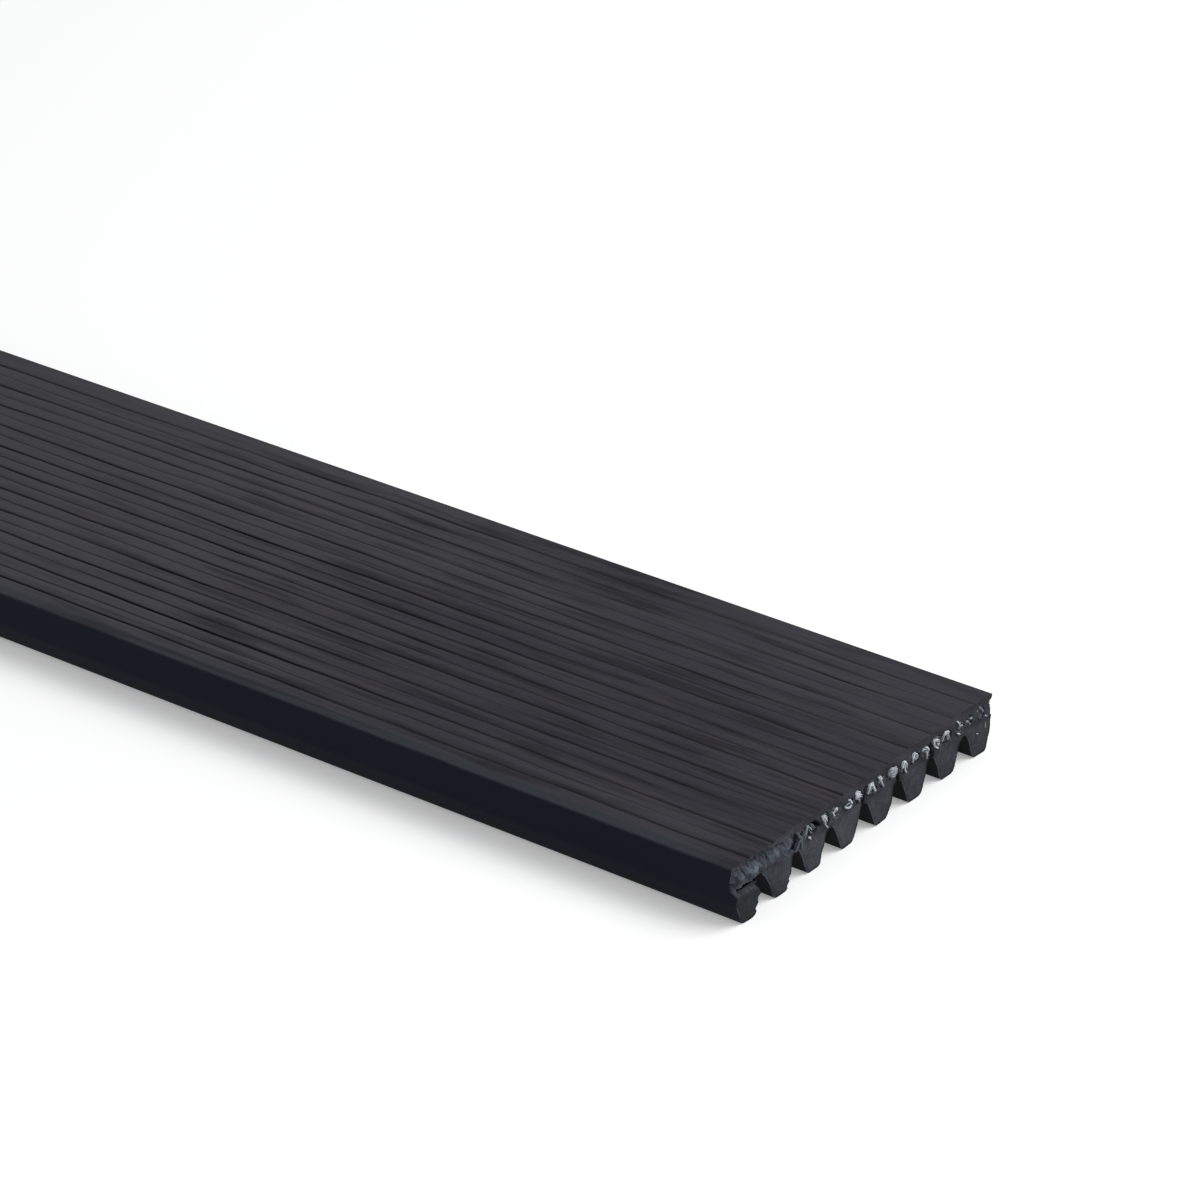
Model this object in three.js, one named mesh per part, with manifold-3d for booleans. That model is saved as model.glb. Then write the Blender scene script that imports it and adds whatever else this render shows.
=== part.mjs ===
// Multi-rib drive belt: a straight cut length that lies on its ribs with its back up.
// Millimetres. +X runs along the belt to the hand-cut end, +Y across it and +Z up to the back.
// The origin is on the surface that the ribs stand on, under the middle of the belt.
import * as THREE from 'three';
import { mergeVertices } from 'three/addons/utils/BufferGeometryUtils.js';
import Module from 'manifold-3d';

// Belt
const BELT_LENGTH = 100;
const BELT_HEIGHT = 4.1;
const EDGE_TRIM = 0.54; // lost on each side where the belt was slit from its sleeve
const BACK_EDGE_RADIUS = 0.12;

// Ribs
const RIB_COUNT = 8;
const RIB_PITCH = 3.56;
const RIB_HEIGHT = 2.2;
const RIB_ANGLE = THREE.MathUtils.degToRad(40);
const RIB_TIP_WIDTH = 1.32;
const RIB_TIP_RADIUS = 0.4;
const VALLEY_RADIUS = 0.4;
const SIDE_RADIUS = 1.8; // where a side face turns into the outer rib's flank

// Tensile cords, wound in pairs of opposite twist
const CORD_DIAMETER = 0.9;
const CORD_DEPTH = 1.02; // from the back to a cord's centre
const CORD_PITCH = 1.187;
const CORD_PAIR_WEB = 0.12; // rubber between the two cords of a pair
const CORD_EDGE_COVER = 0.5; // least rubber beside the outermost cord's pitch
const CORD_BOND_GAP = 0.02; // the film of adhesive round a cord
const CORD_SIDES = 12;

// Back grooves, one over each gap between cords
const PAIR_GROOVE = { width: 0.36, depth: 0.13 };
const CORD_GROOVE = { width: 0.24, depth: 0.07 };

// The hand cut
const CUT_SLANT = 0.07; // mm along the belt for each mm across it
const KNIFE_WAVE = 0.04;
const KNIFE_WAVE_PITCH = 3.1;
const RIB_LEAN = [0.46, 0.23, 0.08, 0.06, 0.07, 0.09, 0.08, 0.08]; // how far each rib's tip stands out
const LEAN_RISE = 1; // height over which a rib's face leans out, down from its root
const TORN_ROUGHNESS = 0.045; // of the torn rubber round the cords
const TORN_RIPPLES = [[2.3, 1.7], [3.9, -3.3], [1.1, 4.6]]; // radians per mm across and up
const RIB_FACE_ROUGHNESS = 0.25; // share of it that the ribs' own cut faces show
const CUT_STEP = 0.3; // spacing of the points that carry the cut's relief
const CORD_PROUD = 0.16; // how far a cut cord stands out of the rubber
const CORD_PROUD_SPREAD = 0.1;
const CORD_PROUD_TURN = 2.4; // radians from one cord's height to the next one's
const CORD_DISH = 0.22; // depth of the hollow in a cut cord's end
const CORD_DISH_WIDTH = 0.5; // share of the cord's width that the hollow takes
const CORD_END_CHAMFER = 0.09;
const COVERED_CORDS = 5; // cords at the near side that smeared rubber hides
const DRAWN_CORD = 6; // this one, counted from 0, drew back into its channel
const DRAWN_BACK = 0.55;
const SMEAR_COVER = 0.3; // rubber over a hidden cord's end
const SMEAR_BULGE = 0.26;
const SMEAR_DRAG = 0.4; // towards the near side, away from the cord that it hides

// The tear that parts the first rib from the cord bed at the cut
const TEAR_LENGTH = 7;
const TEAR_START = 0.5; // from the near side face
const TEAR_OPENING = 0.3;
const TEAR_ROOF = 0.12; // rubber left between the tear and the cords
const TEAR_TIP_OPENING = 0.1; // share of the opening left where the tear ends inside
const TEAR_TIP_WIDTH = 0.4; // share of its width left there

// Chips out of the cut's far corner: height as a share of the belt's, size, and how far out
const CORNER_CHIPS = [
  { at: 0.93, size: 0.3, proud: 0.12 },
  { at: 0.7, size: 0.42, proud: 0.16 },
  { at: 0.5, size: 0.26, proud: 0.08 },
  { at: 0.24, size: 0.36, proud: 0.06 },
];
const CHIP_STRETCH = [1.3, 0.7, 1];

const OVERRUN = 1; // how far a cutter runs past what it cuts

// Worked out from the sizes above
const beltWidth = RIB_COUNT * RIB_PITCH - 2 * EDGE_TRIM;
const halfWidth = beltWidth / 2;
const flankSlope = Math.tan(RIB_ANGLE / 2);
const cordHeight = BELT_HEIGHT - CORD_DEPTH;
const cordRadius = CORD_DIAMETER / 2;
const cordCount = 2 * Math.floor((beltWidth - 2 * CORD_EDGE_COVER) / CORD_PITCH / 2);
const pairShift = (CORD_PITCH - CORD_DIAMETER - CORD_PAIR_WEB) / 2;
const plainEnd = -BELT_LENGTH / 2;
const cutMiddle = BELT_LENGTH / 2 - CUT_SLANT * halfWidth - 2 * TORN_ROUGHNESS;
const tearTop = cordHeight - cordRadius - CORD_BOND_GAP - TEAR_ROOF;
const tearMiddle = tearTop - TEAR_OPENING / 2;
const beyondCut = BELT_LENGTH / 2 + 2 * OVERRUN;

const rubber = new THREE.MeshStandardMaterial({ color: 0x2b2c31, roughness: 0.62, metalness: 0 });
const cordYarn = new THREE.MeshStandardMaterial({ color: 0xaeb8c2, roughness: 0.85, metalness: 0 });

// Across the belt, the place of rib i and of cord i
const ribCentre = (i) => (i - (RIB_COUNT - 1) / 2) * RIB_PITCH;
const cordCentre = (i) => (i - (cordCount - 1) / 2) * CORD_PITCH + (i % 2 ? pairShift : -pairShift);

// Relief of the torn rubber: short waves of unlike lengths, strongest along the cords
function tornRelief(y, z) {
  const ripple = TORN_RIPPLES.reduce((sum, [across, up]) => sum + Math.sin(y * across + z * up), 0);
  const nearCords = THREE.MathUtils.smoothstep(z, RIB_HEIGHT - cordRadius, RIB_HEIGHT + cordRadius);
  return TORN_ROUGHNESS * ripple * THREE.MathUtils.lerp(RIB_FACE_ROUGHNESS, 1, nearCords);
}

// Rubber that the knife dragged over the hidden cords, a soft bulge for each
function smearRelief(y, z) {
  let bulge = 0;
  for (let i = 0; i < COVERED_CORDS; i += 1) {
    const distance = Math.hypot(y - cordCentre(i) + SMEAR_DRAG, z - cordHeight) / cordRadius;
    bulge += SMEAR_BULGE * Math.exp(-distance * distance);
  }
  return bulge;
}

// The lean of the ribs' cut faces, whose tips stand further out than their roots
function ribLean(y, z) {
  const rib = Math.round(y / RIB_PITCH + (RIB_COUNT - 1) / 2);
  const last = Math.min(RIB_COUNT, RIB_LEAN.length) - 1;
  const downRib = THREE.MathUtils.clamp((RIB_HEIGHT - z) / LEAN_RISE, 0, 1);
  return RIB_LEAN[THREE.MathUtils.clamp(rib, 0, last)] * downRib;
}

// Along the belt, where the knife left the face at a point of the section
function cutFace(y, z) {
  const phase = (2 * Math.PI) / KNIFE_WAVE_PITCH;
  const wave = KNIFE_WAVE * Math.sin(y * phase + z) * Math.cos(z * phase / 2);
  const plane = cutMiddle + CUT_SLANT * y + ribLean(y, z);
  return Math.min(plane + wave + tornRelief(y, z) + smearRelief(y, z), BELT_LENGTH / 2);
}

// A closed outline through corners [y, z, radius], each corner with a radius rounded by an arc
function roundedShape(corners) {
  const shape = new THREE.Shape();
  corners.forEach(([y, z, radius = 0], i) => {
    const corner = new THREE.Vector2(y, z);
    const before = new THREE.Vector2(...corners[(i + corners.length - 1) % corners.length].slice(0, 2));
    const after = new THREE.Vector2(...corners[(i + 1) % corners.length].slice(0, 2));
    const back = before.sub(corner);
    const ahead = after.sub(corner);
    const room = Math.min(back.length(), ahead.length()) / 2;
    back.normalize();
    ahead.normalize();
    const half = Math.acos(THREE.MathUtils.clamp(back.dot(ahead), -1, 1)) / 2;
    const reach = Math.min(radius / Math.tan(half), room);
    const start = corner.clone().addScaledVector(back, reach);
    if (i === 0) {
      shape.moveTo(start.x, start.y);
    } else {
      shape.lineTo(start.x, start.y);
    }
    if (radius > 0) {
      const end = corner.clone().addScaledVector(ahead, reach);
      const inward = back.clone().add(ahead).normalize();
      const centre = corner.clone().addScaledVector(inward, reach / Math.cos(half));
      const from = start.sub(centre).angle();
      const to = end.sub(centre).angle();
      shape.absarc(centre.x, centre.y, reach * Math.tan(half), from, to, back.cross(ahead) > 0);
    }
  });
  shape.closePath();
  return shape;
}

// The corners of a rib's tip and of the valley on its far side
function ribCorners(i) {
  const centre = ribCentre(i);
  const tip = RIB_TIP_WIDTH / 2;
  const root = centre + tip + RIB_HEIGHT * flankSlope;
  const corners = [[centre - tip, 0, RIB_TIP_RADIUS], [centre + tip, 0, RIB_TIP_RADIUS]];
  if (i < RIB_COUNT - 1) {
    const nextRoot = ribCentre(i + 1) - tip - RIB_HEIGHT * flankSlope;
    corners.push([root, RIB_HEIGHT, VALLEY_RADIUS], [nextRoot, RIB_HEIGHT, VALLEY_RADIUS]);
  }
  return corners;
}

// Where the outer ribs' flanks run into the side faces, with a flat shoulder on a wide belt
function sideFoot(side) {
  const outerTip = ribCentre(RIB_COUNT - 1) + RIB_TIP_WIDTH / 2;
  const rise = (halfWidth - outerTip) / flankSlope;
  if (rise <= RIB_HEIGHT) {
    return [[side * halfWidth, rise, SIDE_RADIUS]];
  }
  const root = outerTip + RIB_HEIGHT * flankSlope;
  return [[side * root, RIB_HEIGHT, 0], [side * halfWidth, RIB_HEIGHT, 0]];
}

// The back, from its far edge to its near one, with a groove over each gap between cords
function backCorners() {
  const corners = [[halfWidth, BELT_HEIGHT, BACK_EDGE_RADIUS]];
  for (let i = cordCount - 1; i > 0; i -= 1) {
    const centre = (cordCentre(i) + cordCentre(i - 1)) / 2;
    const groove = i % 2 ? PAIR_GROOVE : CORD_GROOVE;
    corners.push([centre + groove.width / 2, BELT_HEIGHT], [centre, BELT_HEIGHT - groove.depth]);
    corners.push([centre - groove.width / 2, BELT_HEIGHT]);
  }
  corners.push([-halfWidth, BELT_HEIGHT, BACK_EDGE_RADIUS]);
  return corners;
}

// Along the belt, where a cord ends: proud of the cut, or hidden behind smeared rubber
function cordEnd(i) {
  const plane = cutMiddle + CUT_SLANT * cordCentre(i);
  if (i < COVERED_CORDS) {
    return plane - SMEAR_COVER;
  }
  if (i === DRAWN_CORD) {
    return plane - DRAWN_BACK;
  }
  const proud = CORD_PROUD + CORD_PROUD_SPREAD * Math.sin(i * CORD_PROUD_TURN);
  return Math.min(plane + proud, BELT_LENGTH / 2);
}

// A cord's many-sided outline, as points round its centre
function roundOutline(y, z, radius) {
  return Array.from({ length: CORD_SIDES }, (_, k) => {
    const angle = (2 * Math.PI * k) / CORD_SIDES;
    return new THREE.Vector2(y + radius * Math.sin(angle), z + radius * Math.cos(angle));
  });
}

// The belt's outline: ribs below, grooved back above
function beltSection() {
  const underside = Array.from({ length: RIB_COUNT }, (_, i) => ribCorners(i)).flat();
  const near = sideFoot(-1).reverse();
  return roundedShape([...near, ...underside, ...sideFoot(1), ...backCorners()]);
}

// Extrudes a section of Y and Z along X
function extrudeAlong(section, from, to) {
  const settings = { depth: to - from, bevelEnabled: false, curveSegments: 2 };
  const geometry = new THREE.ExtrudeGeometry(section, settings);
  const axes = new THREE.Matrix4().makeBasis(
    new THREE.Vector3(0, 1, 0),
    new THREE.Vector3(0, 0, 1),
    new THREE.Vector3(1, 0, 0),
  );
  return geometry.applyMatrix4(axes).translate(from, 0, 0);
}

// Moves each vertex of a geometry by a rule of its place
function reshape(geometry, rule) {
  const places = geometry.attributes.position;
  const point = new THREE.Vector3();
  for (let i = 0; i < places.count; i += 1) {
    rule(point.fromBufferAttribute(places, i));
    places.setXYZ(i, point.x, point.y, point.z);
  }
  return geometry;
}

const wasm = await Module();
wasm.setup();

// A closed geometry as a solid that can be cut
function toSolid(geometry) {
  const bare = geometry.clone();
  bare.deleteAttribute('normal');
  bare.deleteAttribute('uv');
  const merged = mergeVertices(bare, 1e-5);
  return new wasm.Manifold(new wasm.Mesh({
    numProp: 3,
    vertProperties: Float32Array.from(merged.attributes.position.array),
    triVerts: Uint32Array.from(merged.index.array),
  }));
}

// A cut solid as a geometry again
function toGeometry(solid) {
  const mesh = solid.getMesh();
  const geometry = new THREE.BufferGeometry();
  geometry.setAttribute('position', new THREE.BufferAttribute(mesh.vertProperties, 3));
  geometry.setIndex(new THREE.BufferAttribute(mesh.triVerts, 1));
  geometry.computeVertexNormals();
  return geometry;
}

// All that the knife took away: a slab whose near face carries the relief of the cut
function knifeCutter() {
  const across = beltWidth + 2 * OVERRUN;
  const up = BELT_HEIGHT + 2 * OVERRUN;
  const steps = [Math.round(across / CUT_STEP), Math.round(up / CUT_STEP)];
  const slab = new THREE.BoxGeometry(OVERRUN, across, up, 1, ...steps).translate(0, 0, BELT_HEIGHT / 2);
  return reshape(slab, (point) => {
    point.x = point.x < 0 ? cutFace(point.y, point.z) : beyondCut;
  });
}

// The tear: a flat crack under the cords that opens into the first valley and closes inwards
function tearCutter() {
  const start = -halfWidth + TEAR_START;
  const valley = ribCentre(0) + RIB_PITCH / 2;
  const low = tearTop - TEAR_OPENING;
  const crack = roundedShape([
    [start, tearMiddle],
    [start + TEAR_OPENING, low],
    [valley - VALLEY_RADIUS * 2, low],
    [valley - VALLEY_RADIUS / 2, RIB_HEIGHT - VALLEY_RADIUS / 2],
    [valley + VALLEY_RADIUS / 2, RIB_HEIGHT - VALLEY_RADIUS / 2],
    [valley + VALLEY_RADIUS / 2, tearTop],
    [start + TEAR_OPENING, tearTop],
  ]);
  const deepEnd = cutMiddle - TEAR_LENGTH;
  return reshape(extrudeAlong(crack, deepEnd, beyondCut), (point) => {
    if (point.x < cutMiddle) {
      point.z = low + (point.z - low) * TEAR_TIP_OPENING;
      point.y = valley + (point.y - valley) * TEAR_TIP_WIDTH;
    }
  });
}

// The channel that a cord lies in, open at both ends unless smeared rubber covers its cut end
function channelCutter(i) {
  const outline = new THREE.Shape(roundOutline(cordCentre(i), cordHeight, cordRadius + CORD_BOND_GAP));
  const end = i < COVERED_CORDS ? cordEnd(i) + CORD_BOND_GAP : beyondCut;
  return extrudeAlong(outline, plainEnd - OVERRUN, end);
}

// A chip: a lump of a solid with flat faces, sunk into the far corner of the cut
function chipCutter({ at, size, proud }) {
  const z = BELT_HEIGHT * at;
  const outward = Math.min(halfWidth, ribCentre(RIB_COUNT - 1) + RIB_TIP_WIDTH / 2 + z * flankSlope);
  const lump = new THREE.IcosahedronGeometry(size, 1);
  return lump.scale(...CHIP_STRETCH).translate(cutFace(outward, z) + proud, outward + proud, z);
}

function rubberBody() {
  const cords = Array.from({ length: cordCount }, (_, i) => channelCutter(i));
  const cutters = [...cords, knifeCutter(), tearCutter(), ...CORNER_CHIPS.map(chipCutter)];
  const blank = toSolid(extrudeAlong(beltSection(), plainEnd, beyondCut - OVERRUN / 2));
  const solid = cutters.reduce((body, cutter) => body.subtract(toSolid(cutter)), blank);
  const mesh = new THREE.Mesh(toGeometry(solid), rubber);
  mesh.name = 'rubber_body';
  return mesh;
}

// A cord: flush at the plain end, dished where the knife crushed it at the cut
function tensileCord(i) {
  const y = cordCentre(i);
  const length = cordEnd(i) - plainEnd;
  const profile = [
    [0, 0],
    [cordRadius, 0],
    [cordRadius, length - CORD_END_CHAMFER],
    [cordRadius - CORD_END_CHAMFER, length],
    [cordRadius * CORD_DISH_WIDTH, length],
    [0, length - CORD_DISH],
  ].map(([radius, along]) => new THREE.Vector2(radius, along));
  const mesh = new THREE.Mesh(new THREE.LatheGeometry(profile, CORD_SIDES), cordYarn);
  mesh.name = `tensile_cord_${String(i + 1).padStart(2, '0')}`;
  mesh.rotation.z = -Math.PI / 2;
  mesh.position.set(plainEnd, y, cordHeight);
  return mesh;
}

const belt = new THREE.Group();
belt.name = 'serpentine_belt';
belt.add(rubberBody());
for (let i = 0; i < cordCount; i += 1) {
  belt.add(tensileCord(i));
}

export default belt;
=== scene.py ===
"""The looks of a cut length of multi-rib drive belt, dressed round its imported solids.

The belt lies on its ribs with its grooved back up. Its rubber is one moulded body that was cut by hand at
the +X end, where the tensile cords stand out and fray. Sizes are in millimetres and become metres only
where a mesh is made.
"""

import logging
import math
from collections.abc import Sequence
from dataclasses import dataclass, field
from enum import Enum
from typing import Any

import bpy
import numpy as np
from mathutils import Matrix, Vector


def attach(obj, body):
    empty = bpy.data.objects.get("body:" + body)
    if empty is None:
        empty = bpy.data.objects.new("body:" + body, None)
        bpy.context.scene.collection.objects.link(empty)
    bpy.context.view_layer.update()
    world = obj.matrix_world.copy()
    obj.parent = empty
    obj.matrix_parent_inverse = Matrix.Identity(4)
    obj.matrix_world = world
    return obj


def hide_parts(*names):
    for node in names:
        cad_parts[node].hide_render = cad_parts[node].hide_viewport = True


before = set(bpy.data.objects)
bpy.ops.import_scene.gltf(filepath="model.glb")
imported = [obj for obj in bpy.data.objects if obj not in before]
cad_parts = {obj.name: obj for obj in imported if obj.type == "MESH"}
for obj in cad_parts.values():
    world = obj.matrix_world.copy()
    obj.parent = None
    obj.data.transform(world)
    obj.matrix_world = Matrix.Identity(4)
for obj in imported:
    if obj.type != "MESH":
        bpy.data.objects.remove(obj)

log = logging.getLogger("belt")
MM = 0.001
Colour = tuple[float, ...]
Point2 = Sequence[float]
Path2 = tuple[tuple[float, float], ...]
Path3 = tuple[tuple[float, float, float], ...]


@dataclass(frozen=True)
class BeltSizes:
    """The sizes that the belt's pieces share, in millimetres."""

    length: float = 100.0
    height: float = 4.1
    edge_trim: float = 0.54
    back_edge_radius: float = 0.12
    rib_count: int = 8
    rib_pitch: float = 3.56
    rib_height: float = 2.2
    rib_angle: float = math.radians(40.0)
    rib_tip_width: float = 1.32
    rib_tip_radius: float = 0.4
    valley_radius: float = 0.4
    side_radius: float = 1.8
    cord_diameter: float = 0.9
    cord_depth: float = 1.02
    cord_pitch: float = 1.187
    cord_pair_web: float = 0.12
    cord_count: int = 22
    bond_gap: float = 0.02
    covered_cords: int = 5

    @property
    def half_width(self) -> float:
        """Half of the belt's width."""
        return self.rib_count * self.rib_pitch / 2 - self.edge_trim

    @property
    def flank_slope(self) -> float:
        """How far a rib's flank goes outwards for each millimetre up."""
        return math.tan(self.rib_angle / 2)

    @property
    def cord_height(self) -> float:
        """The height of the cords' centres over the rib tips."""
        return self.height - self.cord_depth

    @property
    def cord_radius(self) -> float:
        """Half of a cord's diameter."""
        return self.cord_diameter / 2

    @property
    def plain_end(self) -> float:
        """Where the clean square end is along the belt."""
        return -self.length / 2

    @property
    def cut_end(self) -> float:
        """The furthest that anything at the hand-cut end may reach."""
        return self.length / 2

    def rib_centre(self, rib: int) -> float:
        """The place of a rib across the belt, counted from 0 at the near side."""
        return (rib - (self.rib_count - 1) / 2) * self.rib_pitch

    def cord_centre(self, cord: int) -> float:
        """The place of a cord across the belt; the cords are wound in pairs."""
        shift = (self.cord_pitch - self.cord_diameter - self.cord_pair_web) / 2
        return (cord - (self.cord_count - 1) / 2) * self.cord_pitch + (shift if cord % 2 else -shift)


SIZES = BeltSizes()
TINY = 1e-6
HAND_CUT_FROM = 40.0  # along the belt, where the hand-cut end's own marks may start


class WaveField:
    """Smooth random relief made of many plane waves, the same on every run."""

    def __init__(self, seed: int, shortest: float, longest: float, waves: int = 40) -> None:
        """Draws the waves.

        Args:
            seed: Start of the random numbers.
            shortest: The shortest wave, in millimetres.
            longest: The longest wave, in millimetres.
            waves: How many waves are added up.
        """
        rng = np.random.default_rng(seed)
        wavelength = shortest * (longest / shortest) ** rng.random(waves)
        heading = rng.uniform(0, 2 * math.pi, waves)
        self.across = 2 * math.pi / wavelength * np.cos(heading)
        self.up = 2 * math.pi / wavelength * np.sin(heading)
        self.phase = rng.uniform(0, 2 * math.pi, waves)
        self.weight = wavelength / math.sqrt(float((wavelength ** 2).sum()) / 2)

    def at(self, u: np.ndarray, v: np.ndarray) -> np.ndarray:
        """The relief at points of a plane, about -2 to 2 with a spread of 1.

        Args:
            u: Places along the plane's first axis.
            v: Places along its second axis.

        Returns:
            The relief at each place.
        """
        total = np.zeros(np.broadcast(u, v).shape)
        for across, up, phase, weight in zip(self.across, self.up, self.phase, self.weight):
            total += weight * np.sin(u * across + v * up + phase)
        return total


def smooth_step(value: np.ndarray, low: float, high: float) -> np.ndarray:
    """Goes smoothly from 0 at low to 1 at high."""
    t = np.clip((value - low) / (high - low), 0.0, 1.0)
    return t * t * (3 - 2 * t)


def segment_distance(y: np.ndarray, z: np.ndarray, start: Point2, end: Point2) -> np.ndarray:
    """How far places of the section are from the straight line between two points.

    Args:
        y: Places across the belt.
        z: Heights over the rib tips.
        start: The line's first point, across and up.
        end: The line's last point, across and up.

    Returns:
        Distances in millimetres.
    """
    run, rise = end[0] - start[0], end[1] - start[1]
    share = np.clip(((y - start[0]) * run + (z - start[1]) * rise) / (run * run + rise * rise), 0, 1)
    return np.hypot(y - start[0] - share * run, z - start[1] - share * rise)


def ring(x: float, y: np.ndarray, z: np.ndarray) -> np.ndarray:
    """Places of the section as points at one place along the belt."""
    return np.column_stack([np.full(len(y), x), y, z])


@dataclass(frozen=True)
class Cleft:
    """A crack in the cut face: the line it follows across and up, half its width and its depth."""

    path: Path2
    half_width: float
    depth: float

    def at(self, y: np.ndarray, z: np.ndarray) -> np.ndarray:
        """How far the face falls back at a point because of this crack."""
        nearest = np.min([segment_distance(y, z, *ends) for ends in zip(self.path, self.path[1:])], axis=0)
        return self.depth * (1 - smooth_step(nearest, self.half_width * 0.5, self.half_width * 1.3))


@dataclass(frozen=True)
class HandCut:
    """The rule of the face that the knife left: where it is along the belt at each point of the section."""

    slant: float = 0.07
    wave: float = 0.04
    wave_pitch: float = 3.1
    rib_lean: tuple[float, ...] = (0.46, 0.23, 0.08, 0.06, 0.07, 0.09, 0.08, 0.08)
    lean_rise: float = 1.0
    torn_rib_top: float = 2.6
    torn_rib_rise: float = 0.45
    torn_roughness: float = 0.045
    torn_ripples: Path2 = ((2.3, 1.7), (3.9, -3.3), (1.1, 4.6))
    rib_face_share: float = 0.25
    smear_bulge: float = 0.26
    smear_drag: float = 0.4
    ragged_depth: float = 0.018
    near_ragged_depth: float = 0.05
    near_ragged_width: float = 6.9
    near_fade: tuple[float, float] = (-1.0, 0.6)
    calm_edge: tuple[float, float] = (-0.45, -0.05)
    calm_share: float = 0.75
    crumb_depths: tuple[float, float, float] = (0.005, 0.006, 0.009)
    knife_line_depth: float = 0.006
    clefts: tuple[Cleft, ...] = (
        Cleft(((-7.38, 3.5), (-7.14, 3.05), (-7.3, 2.62)), 0.14, 0.6),
        Cleft(((-7.3, 2.62), (-7.75, 2.5)), 0.12, 0.4),
        Cleft(((-5.2, 3.35), (-4.75, 2.95)), 0.15, 0.6),
        Cleft(((0.08, 3.3), (0.02, 2.6), (0.05, 1.9)), 0.16, 0.5),
        Cleft(((7.05, 3.25), (7.12, 2.6), (7.1, 1.9)), 0.14, 0.45),
        Cleft(((3.58, 2.75), (3.6, 1.9)), 0.12, 0.35),
        Cleft(((-12.75, 3.55), (-12.45, 3.1)), 0.07, 0.16),
        Cleft(((-10.3, 3.6), (-10.15, 3.2)), 0.06, 0.14),
    )
    ragged: WaveField = field(default_factory=lambda: WaveField(11, 0.22, 0.8))
    crumbs: WaveField = field(default_factory=lambda: WaveField(12, 0.12, 0.34))
    knife_lines: WaveField = field(default_factory=lambda: WaveField(13, 0.15, 0.6))

    @property
    def middle(self) -> float:
        """Where the cut crosses the belt's centre line."""
        return SIZES.cut_end - self.slant * SIZES.half_width - 2 * self.torn_roughness

    def plane(self, y: np.ndarray) -> np.ndarray:
        """Where the knife's slanted plane is along the belt, before any relief."""
        return self.middle + self.slant * y

    def smear(self, y: np.ndarray, z: np.ndarray) -> np.ndarray:
        """How much rubber was dragged over the hidden cords at a point, from 0 to about 1.

        Args:
            y: Places across the belt.
            z: Heights over the rib tips.

        Returns:
            A share for each place.
        """
        total = np.zeros(np.broadcast(y, z).shape)
        for cord in range(SIZES.covered_cords):
            across = y - SIZES.cord_centre(cord) + self.smear_drag
            reach = np.hypot(across, z - SIZES.cord_height) / SIZES.cord_radius
            total += np.exp(-reach * reach)
        return total

    def lean(self, y: np.ndarray, z: np.ndarray) -> np.ndarray:
        """How far a rib's cut face stands out, which grows downwards from its root.

        Args:
            y: Places across the belt.
            z: Heights over the rib tips.

        Returns:
            Distances along the belt, in millimetres.
        """
        rib = np.round(y / SIZES.rib_pitch + (SIZES.rib_count - 1) / 2)
        rib = np.clip(rib, 0, SIZES.rib_count - 1).astype(int)
        share = np.clip((SIZES.rib_height - z) / self.lean_rise, 0, 1)
        torn_share = 1 - smooth_step(z, self.torn_rib_top - self.torn_rib_rise, self.torn_rib_top)
        return np.array(self.rib_lean)[rib] * np.where(rib == 0, torn_share, share)

    def band(self, z: np.ndarray) -> np.ndarray:
        """1 in the torn band that holds the cords, 0 on the ribs' own faces."""
        return smooth_step(z, SIZES.rib_height - SIZES.cord_radius, SIZES.rib_height + SIZES.cord_radius)

    def near_share(self, y: np.ndarray) -> np.ndarray:
        """1 on the near third, where the knife tore most, fading to 0 further across."""
        start = -SIZES.half_width + self.near_ragged_width
        return 1 - smooth_step(y, start + self.near_fade[0], start + self.near_fade[1])

    def detail(self, y: np.ndarray, z: np.ndarray) -> np.ndarray:
        """The relief that is finer than the solids carry: torn shreds, crumbs and knife lines.

        Args:
            y: Places across the belt.
            z: Heights over the rib tips.

        Returns:
            Distances along the belt, in millimetres, below 0 where rubber is missing.
        """
        band = self.band(z)
        near = self.near_share(y)
        at_edge = smooth_step(z - SIZES.height, *self.calm_edge)
        shreds = 0.8 - np.abs(self.ragged.at(y, z * 0.75))
        depth = (self.ragged_depth + self.near_ragged_depth * near) * band * (1 - self.calm_share * at_edge)
        lines = self.knife_lines.at(y * 0.4 + z * 2.0, z * 0.3)
        everywhere, in_band, in_near_band = self.crumb_depths
        crumbs = self.crumbs.at(y, z) * (everywhere + (in_band + in_near_band * near) * band)
        cracked = sum(cleft.at(y, z) for cleft in self.clefts)
        return depth * shreds + crumbs + self.knife_line_depth * lines * (1 - band) - cracked

    def along(self, y: np.ndarray, z: np.ndarray, fine: bool = True) -> np.ndarray:
        """Where the knife left the face.

        Args:
            y: Places across the belt.
            z: Heights over the rib tips.
            fine: Whether the finest relief is added.

        Returns:
            Places along the belt, in millimetres.
        """
        y = np.asarray(y, float)
        z = np.asarray(z, float)
        phase = 2 * math.pi / self.wave_pitch
        wave = self.wave * np.sin(y * phase + z) * np.cos(z * phase / 2)
        ripple = sum(np.sin(y * across + z * up) for across, up in self.torn_ripples)
        rough_share = self.rib_face_share + (1 - self.rib_face_share) * self.band(z)
        relief = self.torn_roughness * ripple * rough_share
        face = self.plane(y) + self.lean(y, z) + wave + relief + self.smear_bulge * self.smear(y, z)
        if fine:
            face = face + self.detail(y, z)
        return np.minimum(face, SIZES.cut_end)


CUT = HandCut()


def put_in_scene(name: str, data: bpy.types.ID) -> bpy.types.Object:
    """Makes an object of a mesh, lamp or camera and puts it in the scene.

    Args:
        name: The object's name.
        data: Its mesh, lamp or camera.

    Returns:
        The object.
    """
    made = bpy.data.objects.new(name, data)
    bpy.context.scene.collection.objects.link(made)
    return made


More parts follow.
